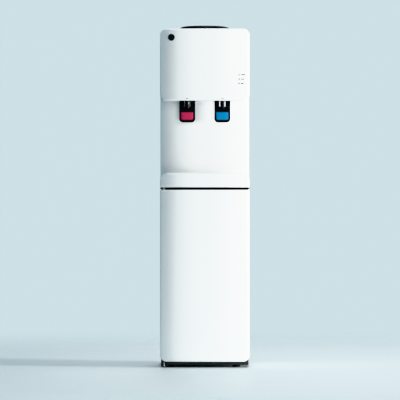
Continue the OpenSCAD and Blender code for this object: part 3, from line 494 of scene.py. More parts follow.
def tube(path: np.ndarray, radius: float, up: Sequence[float], sides: int = 12) -> Surface:
    """A round tube along a path: each ring lies across the path's direction there.

    Args:
        path: Points of the middle line.
        radius: The tube's radius.
        up: A direction that the path never takes.
        sides: Points round.

    Returns:
        The surface, closed at its ends.
    """
    direction = np.gradient(path, axis=0)
    direction /= np.linalg.norm(direction, axis=1, keepdims=True)
    across = np.cross(direction, np.array(up, dtype=float))
    across /= np.linalg.norm(across, axis=1, keepdims=True)
    over = np.cross(direction, across)
    turn = circle(sides)[:, None]
    return lidded(path[:, None] + radius * (across[:, None] * np.cos(turn) + over[:, None] * np.sin(turn)))


def corner_turns(steps: int) -> tuple[np.ndarray, np.ndarray, np.ndarray]:
    """The angles of four quarter turns, and the side of X and of Y on which each of their points lies."""
    turn = np.concatenate([quarter(steps) + k * np.pi / 2 for k in range(4)])
    return turn, np.repeat([1, -1, -1, 1], steps + 1), np.repeat([1, 1, -1, -1], steps + 1)


def soft_box(low: Sequence[float], high: Sequence[float], radius: float, steps: int = 3) -> Surface:
    """A box with round edges: the eight octants of a ball, each moved to its own corner.

    Args:
        low: Lowest corner.
        high: Highest corner.
        radius: Rounding.
        steps: Points a quarter turn.

    Returns:
        The surface.
    """
    low, high = np.array(low, dtype=float), np.array(high, dtype=float)
    reach = (high - low) / 2 - radius
    turn, side_x, side_y = corner_turns(steps)
    tilt = np.concatenate([quarter(steps)[1:] - np.pi / 2, quarter(steps)[:-1]])
    side_z = np.repeat([-1, 1], steps)
    flat = np.cos(tilt)[:, None] * radius
    points = xyz(side_x * reach[0] + flat * np.cos(turn), side_y * reach[1] + flat * np.sin(turn),
                 (side_z * reach[2] + radius * np.sin(tilt))[:, None])
    return lidded(points + (low + high) / 2)


def plate(outline: np.ndarray, low: float, high: float, rim: float, steps: int = 3) -> Surface:
    """A flat plate with rounded rims: the outline drawn in by rim (1 - cos a) over the last rim of height.

    Args:
        outline: Points of the outline in the XY plane, anticlockwise.
        low: Its lower face.
        high: Its upper face.
        rim: Rounding of both rims.
        steps: Points a quarter turn.

    Returns:
        The surface.
    """
    side = np.roll(outline, -1, axis=0) - np.roll(outline, 1, axis=0)
    inward = xyz(-side[:, 1], side[:, 0]) / np.linalg.norm(side, axis=1, keepdims=True)
    angle = quarter(steps)
    inset, rise = rim * (1 - np.cos(angle)), rim * (1 - np.sin(angle))
    rings = outline + np.concatenate([inset[::-1], inset])[:, None, None] * inward
    heights = np.concatenate([low + rise[::-1], high - rise])
    return lidded(xyz(rings[..., 0], rings[..., 1], heights[:, None]))


def round_rectangle(half_x: float, half_y: float, radius: float, steps: int = 8) -> np.ndarray:
    """A rectangle with four arcs for corners, anticlockwise about the origin."""
    turn, side_x, side_y = corner_turns(steps)
    return xyz(side_x * (half_x - radius) + radius * np.cos(turn), side_y * (half_y - radius) + radius * np.sin(turn))


# Making pieces


@dataclass(frozen=True)
class Box:
    """The box around a CAD node."""

    low: np.ndarray
    high: np.ndarray

    @classmethod
    def of(cls, node: str) -> "Box":
        """The box of one CAD node."""
        return cls(*map(np.array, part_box(node)))

    @property
    def middle(self) -> np.ndarray:
        """The box's middle."""
        return (self.low + self.high) / 2

    @property
    def half(self) -> np.ndarray:
        """Half the box's size."""
        return (self.high - self.low) / 2


def joint_of(name: str) -> dict:
    """The frame's entry for a joint."""
    return next(joint for joint in frame["joints"] if joint["name"] == name)


def placed(name: str, data: bpy.types.ID) -> bpy.types.Object:
    """Makes an object and links it to the scene.

    Args:
        name: Its name.
        data: Its mesh, light or camera.

    Returns:
        The object.
    """
    thing = bpy.data.objects.new(name, data)
    bpy.context.scene.collection.objects.link(thing)
    return thing


@contextmanager
def merged(mesh: bpy.types.Mesh) -> Iterator[bmesh.types.BMesh]:
    """Opens a mesh for an edit, makes one of points that coincide, and writes it back at the end.

    Args:
        mesh: The mesh.

    Yields:
        The mesh in the form that bmesh's operators work on.
    """
    work = bmesh.new()
    work.from_mesh(mesh)
    bmesh.ops.remove_doubles(work, verts=work.verts, dist=MERGE)
    yield work
    work.to_mesh(mesh)
    work.free()


class Workshop:
    """Turns surfaces and CAD nodes into finished pieces on their bodies."""

    def __init__(self) -> None:
        """Reads each node's slot and builds one material for each finish."""
        self.nodes: dict[str, bpy.types.Object] = frame["nodes"]
        self.slots = {part["node"]: part["material_slot"] for part in frame["record"]["subparts"]}
        finishes = [member.value for member in (*Slot, *Extra)]
        self.materials = {finish.name: finish.material() for finish in finishes}

    def dress_nodes(self) -> None:
        """Gives every CAD node the material of its slot."""
        for name, node in self.nodes.items():
            node.data.materials.clear()
            node.data.materials.append(self.materials[self.slots[name]])

    def piece(self, name: str, surface: Surface, node: str) -> bpy.types.Object:
        """Makes a piece that stands for a CAD node.

        Args:
            name: The piece's name.
            surface: Its closed surface.
            node: The CAD node that it replaces, whose body and slot it takes.

        Returns:
            The piece.
        """
        piece = self.detail(name, surface, node)
        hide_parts(node)
        return piece

    def detail(self, name: str, surface: Surface, node: str, finish: str | None = None) -> bpy.types.Object:
        """Makes a piece that a CAD node carries besides its own shape.

        Args:
            name: The piece's name.
            surface: Its closed surface.
            node: The CAD node whose body and slot it takes.
            finish: Another finish, if it isn't the slot's.

        Returns:
            The piece.
        """
        mesh = bpy.data.meshes.new(name)
        mesh.vertices.add(len(surface.points))
        mesh.vertices.foreach_set("co", surface.points.ravel())
        corners = np.concatenate([face.ravel() for face in surface.faces])
        sizes = np.concatenate([np.full(len(face), face.shape[1]) for face in surface.faces])
        mesh.loops.add(len(corners))
        mesh.loops.foreach_set("vertex_index", corners)
        mesh.polygons.add(len(sizes))
        mesh.polygons.foreach_set("loop_start", np.cumsum(sizes) - sizes)
        mesh.update(calc_edges=True)
        with merged(mesh) as work:
            bmesh.ops.recalc_face_normals(work, faces=work.faces)
        return self._fixed(name, mesh, node, finish or self.slots[node], MADE_CREASE)

    def softened(self, node: str, rounding: float,
                 reshape: Callable[[np.ndarray], np.ndarray] | None = None) -> None:
        """Makes a CAD node's own shape with its sharp edges rounded as a mould or a press leaves them.

        Args:
            node: The CAD node, which the piece replaces.
            rounding: Width of the rounding.
            reshape: Moves the shape's points before its edges are rounded.
        """
        mesh = self.nodes[node].data.copy()
        with merged(mesh) as work:
            bmesh.ops.dissolve_limit(work, angle_limit=FLAT, verts=work.verts, edges=work.edges)
        if reshape:
            points = np.empty(3 * len(mesh.vertices))
            mesh.vertices.foreach_get("co", points)
            mesh.vertices.foreach_set("co", reshape(points.reshape(-1, 3)).ravel())
        piece = self._fixed(f"{node}_soft", mesh, node, self.slots[node], CAD_CREASE)
        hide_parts(node)
        bevel = piece.modifiers.new("rounding", "BEVEL")
        bevel.width, bevel.segments = rounding, 3
        bevel.limit_method, bevel.angle_limit = "ANGLE", CAD_CREASE
        bevel.harden_normals = True

    def _fixed(self, name: str, mesh: bpy.types.Mesh, node: str, finish: str, crease: float) -> bpy.types.Object:
        """Makes the object on the body and in the slot of a CAD node.

        Args:
            name: Its name.
            mesh: Its mesh.
            node: The CAD node.
            finish: The name of its finish.
            crease: The angle past which an edge is sharp.

        Returns:
            The object.
        """
        mesh.materials.clear()
        mesh.materials.append(self.materials[finish])
        mesh.shade_smooth()
        mesh.set_sharp_from_angle(angle=crease)
        piece, body = placed(name, mesh), self.nodes[node]["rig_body"]
        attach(piece, body)
        LOG.info("%s: %d faces on %s", name, len(mesh.polygons), body)
        return piece


@dataclass
class Assembly:
    """A sub-assembly, which makes its pieces in the workshop."""

    shop: Workshop


@dataclass
class Edges(Assembly):
    """The nodes that keep their own shape and only have their edges rounded, with the rounding in millimetres."""

    roundings: dict[str, float] = field(default_factory=lambda: {
        "head_body": 0.8, "top_cover": 0.8, "tray_carrier": 0.8, "left_side_panel": 0.5, "right_side_panel": 0.5,
        "back_panel": 0.5, "base_pan": 0.5, "tap_bonnets": 0.5, "tap_nuts": 0.5, "drip_tray": 0.7,
        "drip_grille": 0.7, "door_liner": 3, "door_cap": 0.3, "handle_channel": 0.8, "upper_hinge": 0.4,
        "lower_hinge": 0.4, "condenser_brackets": 0.4, "relay_cover": 3, "switch_bezel": 1, "cable_gland": 0.6})

    def build(self) -> None:
        """Softens the nodes."""
        for node, rounding in self.roundings.items():
            self.shop.softened(node, rounding * MM)


# Bowed fronts


@dataclass
class BowedFront:
    """A bowed front moulding, whose sides fall back as bow (|x| / half)^power and whose edges are rolled."""

    half: float
    low: float
    high: float
    front: float
    back: float
    top_radius: float
    foot_radius: float
    bow: float = 18 * MM
    power: float = 3.0
    roll: float = 8 * MM
    wall: float = 3 * MM
    least_radius: float = 0.5 * MM
    arc_steps: int = 16
    flat_steps: int = 44
    roll_steps: int = 8
    rows: int = 24

    @classmethod
    def of_node(cls, node: str, top_radius: float, foot_radius: float) -> "BowedFront":
        """The front that fills a CAD node's box."""
        low, high = Box.of(node).low, Box.of(node).high
        return cls(high[0], low[2], high[2], low[1], high[1], top_radius, foot_radius)

    def face_y(self, x: np.ndarray) -> np.ndarray:
        """Place along Y of the bowed face at x."""
        return self.front + self.bow * (np.abs(x) / self.half) ** self.power

    def laid(self, part: Surface, x: float, z: float) -> Surface:
        """A part made on the XY plane, laid on the face about (x, z): y = face y at its own x, less its height."""
        across, up, height = part.points.T
        return replace(part, points=xyz(x + across, self.face_y(x + across) - height, z + up))

    def run(self, inset: float, z: float, radius: float, side: int) -> np.ndarray:
        """One edge from left to right: an arc, a flat stretch and an arc.

        Args:
            inset: How far the edge is drawn in.
            z: Height of the flat stretch before it is drawn in.
            radius: Corner radius before it is drawn in.
            side: 1 for the top edge and -1 for the foot.

        Returns:
            Pairs of x and z.
        """
        half, level = self.half - inset, z - side * inset
        radius = max(radius - inset, self.least_radius)
        angle = np.linspace(np.pi, np.pi / 2, self.arc_steps + 1)
        left = xyz(-half + radius + radius * np.cos(angle), level + side * radius * (np.sin(angle) - 1))
        flat = np.linspace(-1, 1, self.flat_steps + 1)[1:-1] * (half - radius)
        return np.vstack([left, xyz(flat, level), left[::-1] * (-1, 1)])

    def ring(self, inset: float) -> np.ndarray:
        """The closed outline drawn in by inset, as pairs of x and z."""
        top = self.run(inset, self.high, self.top_radius, 1)
        return np.vstack([top, self.run(inset, self.low, self.foot_radius, -1)[::-1]])

    def between(self, ring: np.ndarray) -> np.ndarray:
        """Rows of points from a ring's top edge straight down to its foot edge."""
        top, foot = np.split(ring, 2)
        return np.linspace(top, foot[::-1], self.rows + 1)

    def skin(self, roll: float) -> tuple[np.ndarray, Surface]:
        """The face with its rolled edge, without the back.

        Args:
            roll: Radius of the rolled edge.

        Returns:
            The ring at the back, and the surface.
        """
        angle = quarter(self.roll_steps)
        outline = np.stack([self.ring(inset) for inset in roll * (1 - np.cos(angle))])
        depth = self.face_y(outline[..., 0]) + (roll * (1 - np.sin(angle)))[:, None]
        rolled = xyz(outline[..., 0], depth, outline[..., 1])
        rim = rolled[0] * (1, 0, 1) + (0, self.back, 0)
        face = self.between(rolled[-1])
        face[1:-1, :, 1] = self.face_y(face[1:-1, :, 0])
        return rim, lattice(np.concatenate([rim[None], rolled]), around=True) + lattice(face)

    def slab(self) -> Surface:
        """A solid front with a flat back."""
        rim, skin = self.skin(self.roll)
        return skin + lattice(self.between(rim))

    def shell(self) -> Surface:
        """A front of even wall, open at its back.

        Returns:
            The surface.
        """
        wall = self.wall
        inner = replace(self, half=self.half - wall, low=self.low + wall, high=self.high - wall,
                        front=self.front + wall, top_radius=max(self.top_radius - wall, self.least_radius),
                        foot_radius=max(self.foot_radius - wall, self.least_radius))
        outer_rim, outer_skin = self.skin(self.roll)
        inner_rim, inner_skin = inner.skin(self.roll - wall)
        return outer_skin + inner_skin + lattice(np.stack([outer_rim, inner_rim]), around=True)

    def level_line(self, wall: float) -> np.ndarray:
        """The section of a front that is rolled only at its two sides.

        Args:
            wall: How far the section is drawn in.

        Returns:
            Pairs of x and y.
        """
        roll, half = self.roll - wall, self.half - wall
        angle = quarter(self.roll_steps)
        edge = half - roll * (1 - np.cos(angle))
        right = xyz(edge, self.face_y(edge) + wall + roll * (1 - np.sin(angle)))
        x = np.linspace(1, -1, self.flat_steps + 1)[1:-1] * (half - roll)
        middle = xyz(x, self.face_y(x) + wall)
        return np.vstack([[half, self.back], right, middle, right[::-1] * (-1, 1), [-half, self.back]])

    def channel(self) -> Surface:
        """A front of even wall cut flat at its top and foot, open at its back.

        Returns:
            The surface.
        """
        section = np.vstack([self.level_line(0.0), self.level_line(self.wall)[::-1]])
        heights = np.linspace(self.low, self.high, self.rows + 1)[:, None]
        surface = lattice(xyz(section[:, 0], section[:, 1], heights), around=True)
        last = len(section) - 1
        here = np.arange(len(section) // 2 - 1)
        strip = xyz(here, here + 1, last - 1 - here, last - here)
        surface.faces += [strip, strip + self.rows * len(section)]
        return surface


@dataclass
class Fronts(Assembly):
    """The four white front mouldings."""

    corner: float = 22 * MM
    tray_corner: float = 25 * MM
    square: float = 2 * MM

    def build(self) -> BowedFront:
        """Makes the bay, tray, door and head fronts.

        Returns:
            The head's front, on which small parts sit.
        """
        bay = BowedFront.of_node("tap_panel", self.square, self.square)
        tray = BowedFront.of_node("tray_front", self.tray_corner, self.square)
        door = BowedFront.of_node("door_panel", self.square, self.corner)
        head = BowedFront.of_node("head_front", self.corner, self.corner)
        self.shop.piece("bay_moulding", bay.channel(), "tap_panel")
        self.shop.piece("tray_moulding", tray.shell(), "tray_front")
        self.shop.piece("door_moulding", door.slab(), "door_panel")
        self.shop.piece("head_moulding", head.shell(), "head_front")
        return head


# Indicators and blank badge


@dataclass
class Indicators(Assembly):
    """Lamps with their printed dashes, and the blank disc at the upper left, all on the head's front."""

    head: BowedFront
    lens_radius: float = 1.5 * MM
    rim: float = 2.4 * MM
    rim_proud: float = 0.2 * MM
    proud: float = 0.35 * MM
    sunk: float = 1 * MM
    dash_x: float = 0.1254
    dash_size: tuple[float, float, float] = (4.6 * MM, 1 * MM, 0.12 * MM)
    dash_lengths: tuple[float, ...] = (14.5 * MM, 11.5 * MM, 9.5 * MM)
    mark_length: float = 9 * MM
    mark_size: tuple[float, float, float] = (2.2 * MM, 0.8 * MM, 0.15 * MM)
    mark_z: float = 0.9325
    badge_place: tuple[float, float] = (-0.1158, 1.1445)
    badge_radius: float = 12 * MM
    badge_thickness: float = 0.8 * MM

    def dash(self, length: float, size: tuple[float, float, float]) -> Surface:
        """A plain dash about the origin; size is its height, its corners' radius and how far it stands out."""
        height, corner, proud = size
        return plate(round_rectangle(length / 2, height / 2, corner, 4), -self.sunk, proud, PIN)

    def build(self) -> None:
        """Makes the lamps, dashes, tap marks and badge disc."""
        head, lenses = self.head, Box.of("indicator_lenses")
        lamp_x, lamp_radius = lenses.middle[0], lenses.half[0]
        heights = np.linspace(lenses.high[2] - lamp_radius, lenses.low[2] + lamp_radius, len(self.dash_lengths))
        dome = revolved([(self.lens_radius, -4 * self.sunk), (self.lens_radius, 0),
                         (0.7 * self.lens_radius, self.proud), (PIN, self.proud)], 32, 2)
        ring = hoop(self.lens_radius, self.lens_radius + self.rim, -self.sunk, self.rim_proud, 32, 1)
        domes, rings = (joined([head.laid(part, lamp_x, z) for z in heights]) for part in (dome, ring))
        self.shop.piece("lamp_lenses", domes, "indicator_lenses")
        self.shop.detail("lamp_rims", rings, "head_front", "printed_grey")
        dashes = [head.laid(self.dash(length, self.dash_size), self.dash_x + length / 2, z)
                  for z, length in zip(heights, self.dash_lengths)]
        mark, tap_x = self.dash(self.mark_length, self.mark_size), Box.of("cold_insert").middle[0]
        dashes += [head.laid(mark, side * tap_x, self.mark_z) for side in (-1, 1)]
        self.shop.detail("lamp_dashes", joined(dashes), "head_front", "printed_grey")
        radius, thickness = self.badge_radius, self.badge_thickness
        badge = revolved([(radius, -2 * self.sunk), (radius, thickness), (0.8 * radius, thickness),
                          (PIN, thickness)], 64, 3)
        self.shop.detail("blank_disc", head.laid(badge, *self.badge_place), "head_front", "blank_badge")


# Casing


@dataclass
class Casing(Assembly):
    """What is screwed to the back panel or pressed out of it."""

    screw_radius: float = 3.6 * MM
    screw_height: float = 2.0 * MM
    screw_inset: float = 7 * MM
    screw_margin: float = 20 * MM
    screws_a_side: int = 7
    hood_depth: float = 4 * MM
    hood_length: float = 60 * MM
    hood_height: float = 8 * MM
    hood_wall: float = 0.8 * MM
    hoods: int = 7
    hood_pitch: float = 14 * MM
    hood_x: float = 70 * MM
    hood_rise: float = 67 * MM

    def build(self) -> None:
        """Makes the screws and the louvres."""
        self.screws()
        self.louvres()

    def screws(self) -> None:
        """Pan-head screws down both edges of the back panel."""
        panel, radius, height = Box.of("back_panel"), self.screw_radius, self.screw_height
        head = revolved([(radius, -0.5 * MM), (radius, 0.6 * height), (0.6 * radius, height), (0.35 * radius, height),
                         (0.3 * radius, 0.5 * height), (PIN, 0.5 * height)], 24, 2).turned(LYING)
        flange = Box.of("left_side_panel").high[1]
        levels = np.linspace(panel.low[2] + self.screw_margin, panel.high[2] - self.screw_margin, self.screws_a_side)
        reach = panel.high[0] - self.screw_inset
        heads = [head.moved(side * reach, flange, z) for side in (-1, 1) for z in levels]
        self.shop.detail("back_screws", joined(heads), "back_panel")

    def louvres(self) -> None:
        """Pressed hoods over the back panel's slots.

        A hood is a quarter barrel: x = -(length / 2) cos b, y = depth sin a (sin b)^(1/4) and
        z = -height (1 - cos a), where a runs down the hood and b from end to end.
        """
        down = np.linspace(0.05, np.pi / 2, 8)[:, None]
        along = np.linspace(0.1, np.pi - 0.1, 24)
        wall = (0, self.hood_wall, 0)
        outer = xyz(-self.hood_length / 2 * np.cos(along), self.hood_depth * np.sin(down) * np.sin(along) ** 0.25,
                    -self.hood_height * (1 - np.cos(down)))
        rim = np.vstack([outer[0], outer[1:, -1], outer[-1, -2::-1], outer[-2:0:-1, 0]])
        hood = lattice(outer) + lattice(outer - wall) + lattice(np.stack([rim, rim - wall]), around=True)
        panel, first = Box.of("back_panel").high[1], Box.of("tray_carrier").high[2] + self.hood_rise
        hoods = [hood.moved(side * self.hood_x, panel, first + i * self.hood_pitch)
                 for side in (-1, 1) for i in range(self.hoods)]
        self.shop.detail("louvre_hoods", joined(hoods), "back_panel")


# Taps


@dataclass
class Taps(Assembly):
    """Two taps with their push levers and coloured inserts."""

    barrel_radius: float = 10 * MM
    barrel_rise: float = 0.5 * MM
    chamber_radius: float = 7 * MM
    seat_gap: float = 0.1 * MM
    nozzle_radius: float = 7.6 * MM
    nozzle_lip: float = 4 * MM
    nozzle_length: float = 20 * MM
    nozzle_waist: float = 0.3 * MM
    way_radius: float = 4 * MM
    edge: float = 0.6 * MM
    shank_radius: float = 8 * MM
    shank_rise: float = 16 * MM
    overlap: float = 1 * MM
    washer_width: float = 4 * MM
    washer_depth: float = 5 * MM
    spring_wire: float = 0.6 * MM
    spring_turns: int = 6
    lever_rounding: float = 0.9 * MM
    insert_dome: float = 0.7 * MM
    insert_corner: float = 5 * MM
    insert_square: float = 1.2 * MM
    insert_foot_rise: float = 3.6 * MM
    insert_top_rise: float = 2.4 * MM
    notch_depth: float = 21.5 * MM
    notch_rise: float = 3 * MM
    cad_corner: float = 10 * MM
    corner: float = 13 * MM
    slack: float = 0.3 * MM

    def build(self) -> None:
        """Makes the taps' visible pieces."""
        self.bodies()
        for side in ("hot", "cold"):
            lever, insert = Box.of(f"{side}_lever"), Box.of(f"{side}_insert")
            self.shop.softened(f"{side}_lever", self.lever_rounding,
                               lambda points, lever=lever, insert=insert: self.paddle(points, lever, insert))
            self.insert(f"{side}_insert")
            self.spring(f"{side}_tap_spring", f"{side}_plunger_lift")

    def paddle(self, points: np.ndarray, lever: Box, insert: Box) -> np.ndarray:
        """A lever's points with a rounder foot, a shorter notch and a higher pocket, as the photo shows them.

        A foot corner's arc c + r (cos t, sin t) becomes c' + r' (cos t, sin t), with each centre one radius in from
        both edges. The pocket's heights are mapped as a straight line onto the insert's.

        Args:
            points: Array of points x 3.
            lever: The CAD lever's box.
            insert: The CAD insert's box.

        Returns:
            The moved points.
        """
        middle, half, foot, slack = lever.middle[0], lever.half[0], lever.low[2], self.slack
        moved = points.copy()
        across, up = points[:, 0] - middle, points[:, 2]
        beside, out, rise = np.abs(across), np.abs(across) - (half - self.cad_corner), up - (foot + self.cad_corner)
        arc = (out > -slack) & (rise < slack) & (np.hypot(out, rise) > self.cad_corner - slack)
        grown = self.corner / self.cad_corner
        moved[arc, 0] = middle + (np.sign(across) * (half - self.corner + grown * out))[arc]
        moved[arc, 2] = (foot + self.corner + grown * rise)[arc]
        low, high = insert.low[2], insert.high[2]
        pocket = ~arc & (low - slack < up) & (up < high + slack) & (beside < half - self.cad_corner / 2)
        slope = (self.insert_top_rise - self.insert_foot_rise) / (high - low)
        moved[pocket, 2] = (up + self.insert_foot_rise + slope * (up - low))[pocket]
        floor = Box.of("head_body").low[2] - self.notch_depth
        moved[(np.abs(up - floor) < slack) & (beside < half / 2), 2] += self.notch_rise
        return moved

    def spring(self, node: str, joint: str) -> None:
        """A valve spring: a coil of wire as tall as its node's box.

        Its wire follows x = r cos t, y = r sin t and z = z0 + p t.

        Args:
            node: The CAD node of the spring.
            joint: The joint of the stem that squeezes it.
        """
        box, wire = Box.of(node), self.spring_wire
        (x, y, _), foot, top = box.middle, box.low[2], box.high[2]
        reach = box.half[0] - wire
        turn = np.linspace(0, 2 * np.pi * self.spring_turns, 24 * self.spring_turns + 1)
        height = np.linspace(foot + 1.2 * wire, top - 1.2 * wire, len(turn))
        path = xyz(x + reach * np.cos(turn), y + reach * np.sin(turn), height)
        coil = self.shop.piece(f"{node}_coil", tube(path, wire, (0, 0, 1), 8), node)
        keep = 1 - 1.02 * joint_of(joint)["range_m"][1] / (top - foot)
        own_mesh(coil)

    def bodies(self) -> None:
        """Barrels with nozzles, each one profile turned round, and their shanks and washers."""
        tap, plunger = Box.of("tap_bodies"), Box.of("hot_plunger")
        axis_x, axis_y = -plunger.middle[0], plunger.middle[1]
        tip, top, seat = tap.low[2], tap.high[2], plunger.low[2] - self.seat_gap
        shoulder = Box.of("head_body").low[2] + self.barrel_rise
        way, nozzle, outer, chamber = self.way_radius, self.nozzle_radius, self.barrel_radius, self.chamber_radius
        waist, lip, edge = nozzle - self.nozzle_waist, tip + self.nozzle_lip, self.edge
        # The nozzle's mouth and outside, then the shoulder, the barrel, and the chamber down to the valve's seat.
        barrel = revolved([
            (way, tip + edge), (way + edge, tip), (nozzle - 0.8 * MM, tip), (nozzle, tip + 0.8 * MM), (nozzle, lip),
            (waist, lip + edge), (waist, tip + self.nozzle_length), (nozzle, shoulder - 2 * MM),
            (nozzle + 1 * MM, shoulder), (outer - 1 * MM, shoulder), (outer, shoulder + 1 * MM), (outer, top - edge),
            (outer - edge, top), (chamber, top), (chamber, seat), (way, seat)], 48, closed=True).moved(0, axis_y)
        start = axis_y + outer - self.overlap
        shank = revolved([(self.shank_radius, 0), (self.shank_radius, tap.high[1] - start)], 40)
        washer = hoop(self.shank_radius - self.overlap, self.shank_radius + self.washer_width, -self.washer_depth, 0,
                      passes=2)
        level = seat + self.shank_rise
        body = (barrel + shank.turned(LYING).moved(0, start, level)
                + washer.turned(LYING).moved(0, Box.of("tap_panel").low[1], level))
        self.shop.piece("tap_castings", body.moved(-axis_x) + body.moved(axis_x), "tap_bodies")

    def insert(self, node: str) -> None:
        """A coloured pad whose face swells by dome (1 - u^4)(1 - v^4) over its half width and height.

        Args:
            node: The CAD node of the insert.
        """
        cad = Box.of(node)
        box = Box(cad.low + (0, 0, self.insert_foot_rise), cad.high + (0, 0, self.insert_top_rise))
        half_x, _, half_z = box.half
        outline = round_rectangle(half_x, half_z, self.insert_corner, 10)
        upper = outline[:, 1] > 0
        outline[upper] = round_rectangle(half_x, half_z, self.insert_square, 10)[upper]
        share = np.concatenate([[1.0, 1.0], 1 - np.linspace(0.02, 0.98, 14)])
        lift = np.concatenate([[0.0, 1.2 * MM], np.full(14, 1.3 * MM)])
        across, up = np.moveaxis(outline * share[:, None, None], -1, 0)
        swell = self.insert_dome * (1 - (across / half_x) ** 4) * (1 - (up / half_z) ** 4)
        depth = box.high[1] - lift[:, None] - np.where(share[:, None] < 1, swell, 0)
        pad = lidded(xyz(box.middle[0] + across, depth, box.middle[2] + up))
        self.shop.piece(f"{node}_pad", pad, node)


# Bottle collar


@dataclass
class Collar(Assembly):
    """The black bottle collar: a funnel with a round shoulder and ribs inside."""

    ribs: int = 24
    rib_half: float = 0.9 * MM
    neck: float = 30 * MM
    neck_height: float = 35 * MM
    crest_inset: float = 14 * MM
    hole_inset: float = 12 * MM
    flange: float = 3 * MM

    def build(self) -> None:
        """Makes the collar as one turned profile with ribs down its funnel."""
        box, deck = Box.of("bottle_collar"), Box.of("top_cover").high[2]
        y, rim, foot, top, neck = box.middle[1], box.high[0], box.low[2], box.high[2], self.neck
        crest, hole, straight = rim - self.crest_inset, rim - self.hole_inset, foot + self.neck_height
        edge = deck + self.flange
        outside = [(neck + 3 * MM, foot), (neck + 3 * MM, straight), (hole, deck - 12 * MM), (hole, deck + 0.1 * MM),
                   (rim - 0.3 * MM, deck + 0.1 * MM)]
        shoulder = xyz(crest + (rim - crest) * np.cos(quarter(11)), edge + (top - edge) * np.sin(quarter(11)))
        inside = [(crest - 5 * MM, top), (crest - 8 * MM, top - 2 * MM), (neck + 4 * MM, straight + 4 * MM),
                  (neck, straight), (neck, foot)]
        collar = revolved([*outside, *shoulder, *inside], 128, closed=True)
        self.shop.piece("collar_turned", collar.moved(0, y), "bottle_collar")
        radius = np.linspace(neck + 5 * MM, crest - 9 * MM, 12)
        height = np.linspace(straight + 4 * MM, top - 4 * MM, 12) + 1.2 * MM
        rib = tube(xyz(radius, 0, height), self.rib_half, (0, 1, 0), 8)
        ribs = []
        for turn in circle(self.ribs):
            spin = np.array([[np.cos(turn), np.sin(turn), 0], [-np.sin(turn), np.cos(turn), 0], [0, 0, 1]])
            ribs.append(replace(rib, points=rib.points @ spin))
        self.shop.detail("collar_ribs", joined(ribs).moved(0, y), "bottle_collar")


# Door


@dataclass
class Door(Assembly):
    """The door's gasket and hinge pin, and the black gap over it."""

    hinge_fore: float = 10 * MM
    collar_rise: float = 2.2 * MM
    collar_gap: float = 0.1 * MM
    collar_height: float = 1.2 * MM
    collar_width: float = 2 * MM
    end_inset: float = 0.4 * MM
    front_inset: float = 2 * MM
    side_reach: tuple[float, float] = (4 * MM, 1 * MM)
    gasket_width: float = 12 * MM
    gasket_corner: float = 8 * MM
    bellows: Corners = ((0.5, 0.18), (0.32, 0.34), (0.32, 0.5), (0.46, 0.66), (0.5, 0.8))

    def build(self) -> None:
        """Makes the gasket, the gap's fillers and the pin's collar."""
        self.gasket()
        self.gap()
        self.pin()

    def gap(self) -> None:
        """Black fillers at the channel's two ends and before the foam."""
        hinge, channel, carrier = (Box.of(node) for node in ("upper_hinge", "handle_channel", "tray_carrier"))
        foam, brim = Box.of("cabinet_insulation"), Box.of("cabinet_liner").high[2]
        inset, face, fore = self.end_inset, Box.of("left_side_panel").low[1], carrier.low[1] + self.front_inset
        left, right = carrier.low[0] + inset, carrier.high[0] - inset
        foot, top = channel.low[2] + inset, channel.high[2] - inset
        ahead, behind = self.side_reach
        spans = [((left, face - ahead, foot), (channel.low[0] + inset, face + behind)),
                 ((left, fore, foot), (hinge.low[0] + inset, face)),
                 ((channel.high[0] - inset, fore, foot), (right, face)),
                 ((foam.low[0] + inset, face + inset, brim), (foam.high[0] - inset, foam.low[1]))]
        fillers = [soft_box(near, (*far, top), inset) for near, far in spans]
        self.shop.detail("gap_fillers", joined(fillers), "handle_channel")

    def pin(self) -> None:
        """The upper pin's bright collar."""
        x, y, _ = Box.of("upper_hinge").low
        _, face, top = Box.of("door_panel").high
        radius = face - y - self.hinge_fore
        band = hoop(radius - self.collar_width, radius + self.collar_gap, 0, self.collar_height, passes=2)
        level = top + self.collar_rise
        self.shop.detail("hinge_collar", band.moved(x + radius, y + radius, level), "upper_hinge", "zinc")

    def gasket(self) -> None:
        """A bellows frame: its section swells and narrows from the door to the cabinet."""
        box, width = Box.of("door_gasket"), self.gasket_width
        half_x, half_z = box.high[0] - width / 2, box.half[2] - width / 2
        right = [(0.5, 0), *self.bellows, (0.5, 1.0)]
        section = smooth_profile([*right, *((-across, reach) for across, reach in right[::-1])], 1, True)
        across, reach = (section * (width, 2 * box.half[1])).T[..., None]
        outlines = round_rectangle(half_x + across, half_z + across, self.gasket_corner + across)
        rings = xyz(outlines[..., 0], box.low[1] + reach, box.middle[2] + outlines[..., 1])
        self.shop.piece("gasket_bellows", lattice(rings, True, True), "door_gasket")


# Cooling system


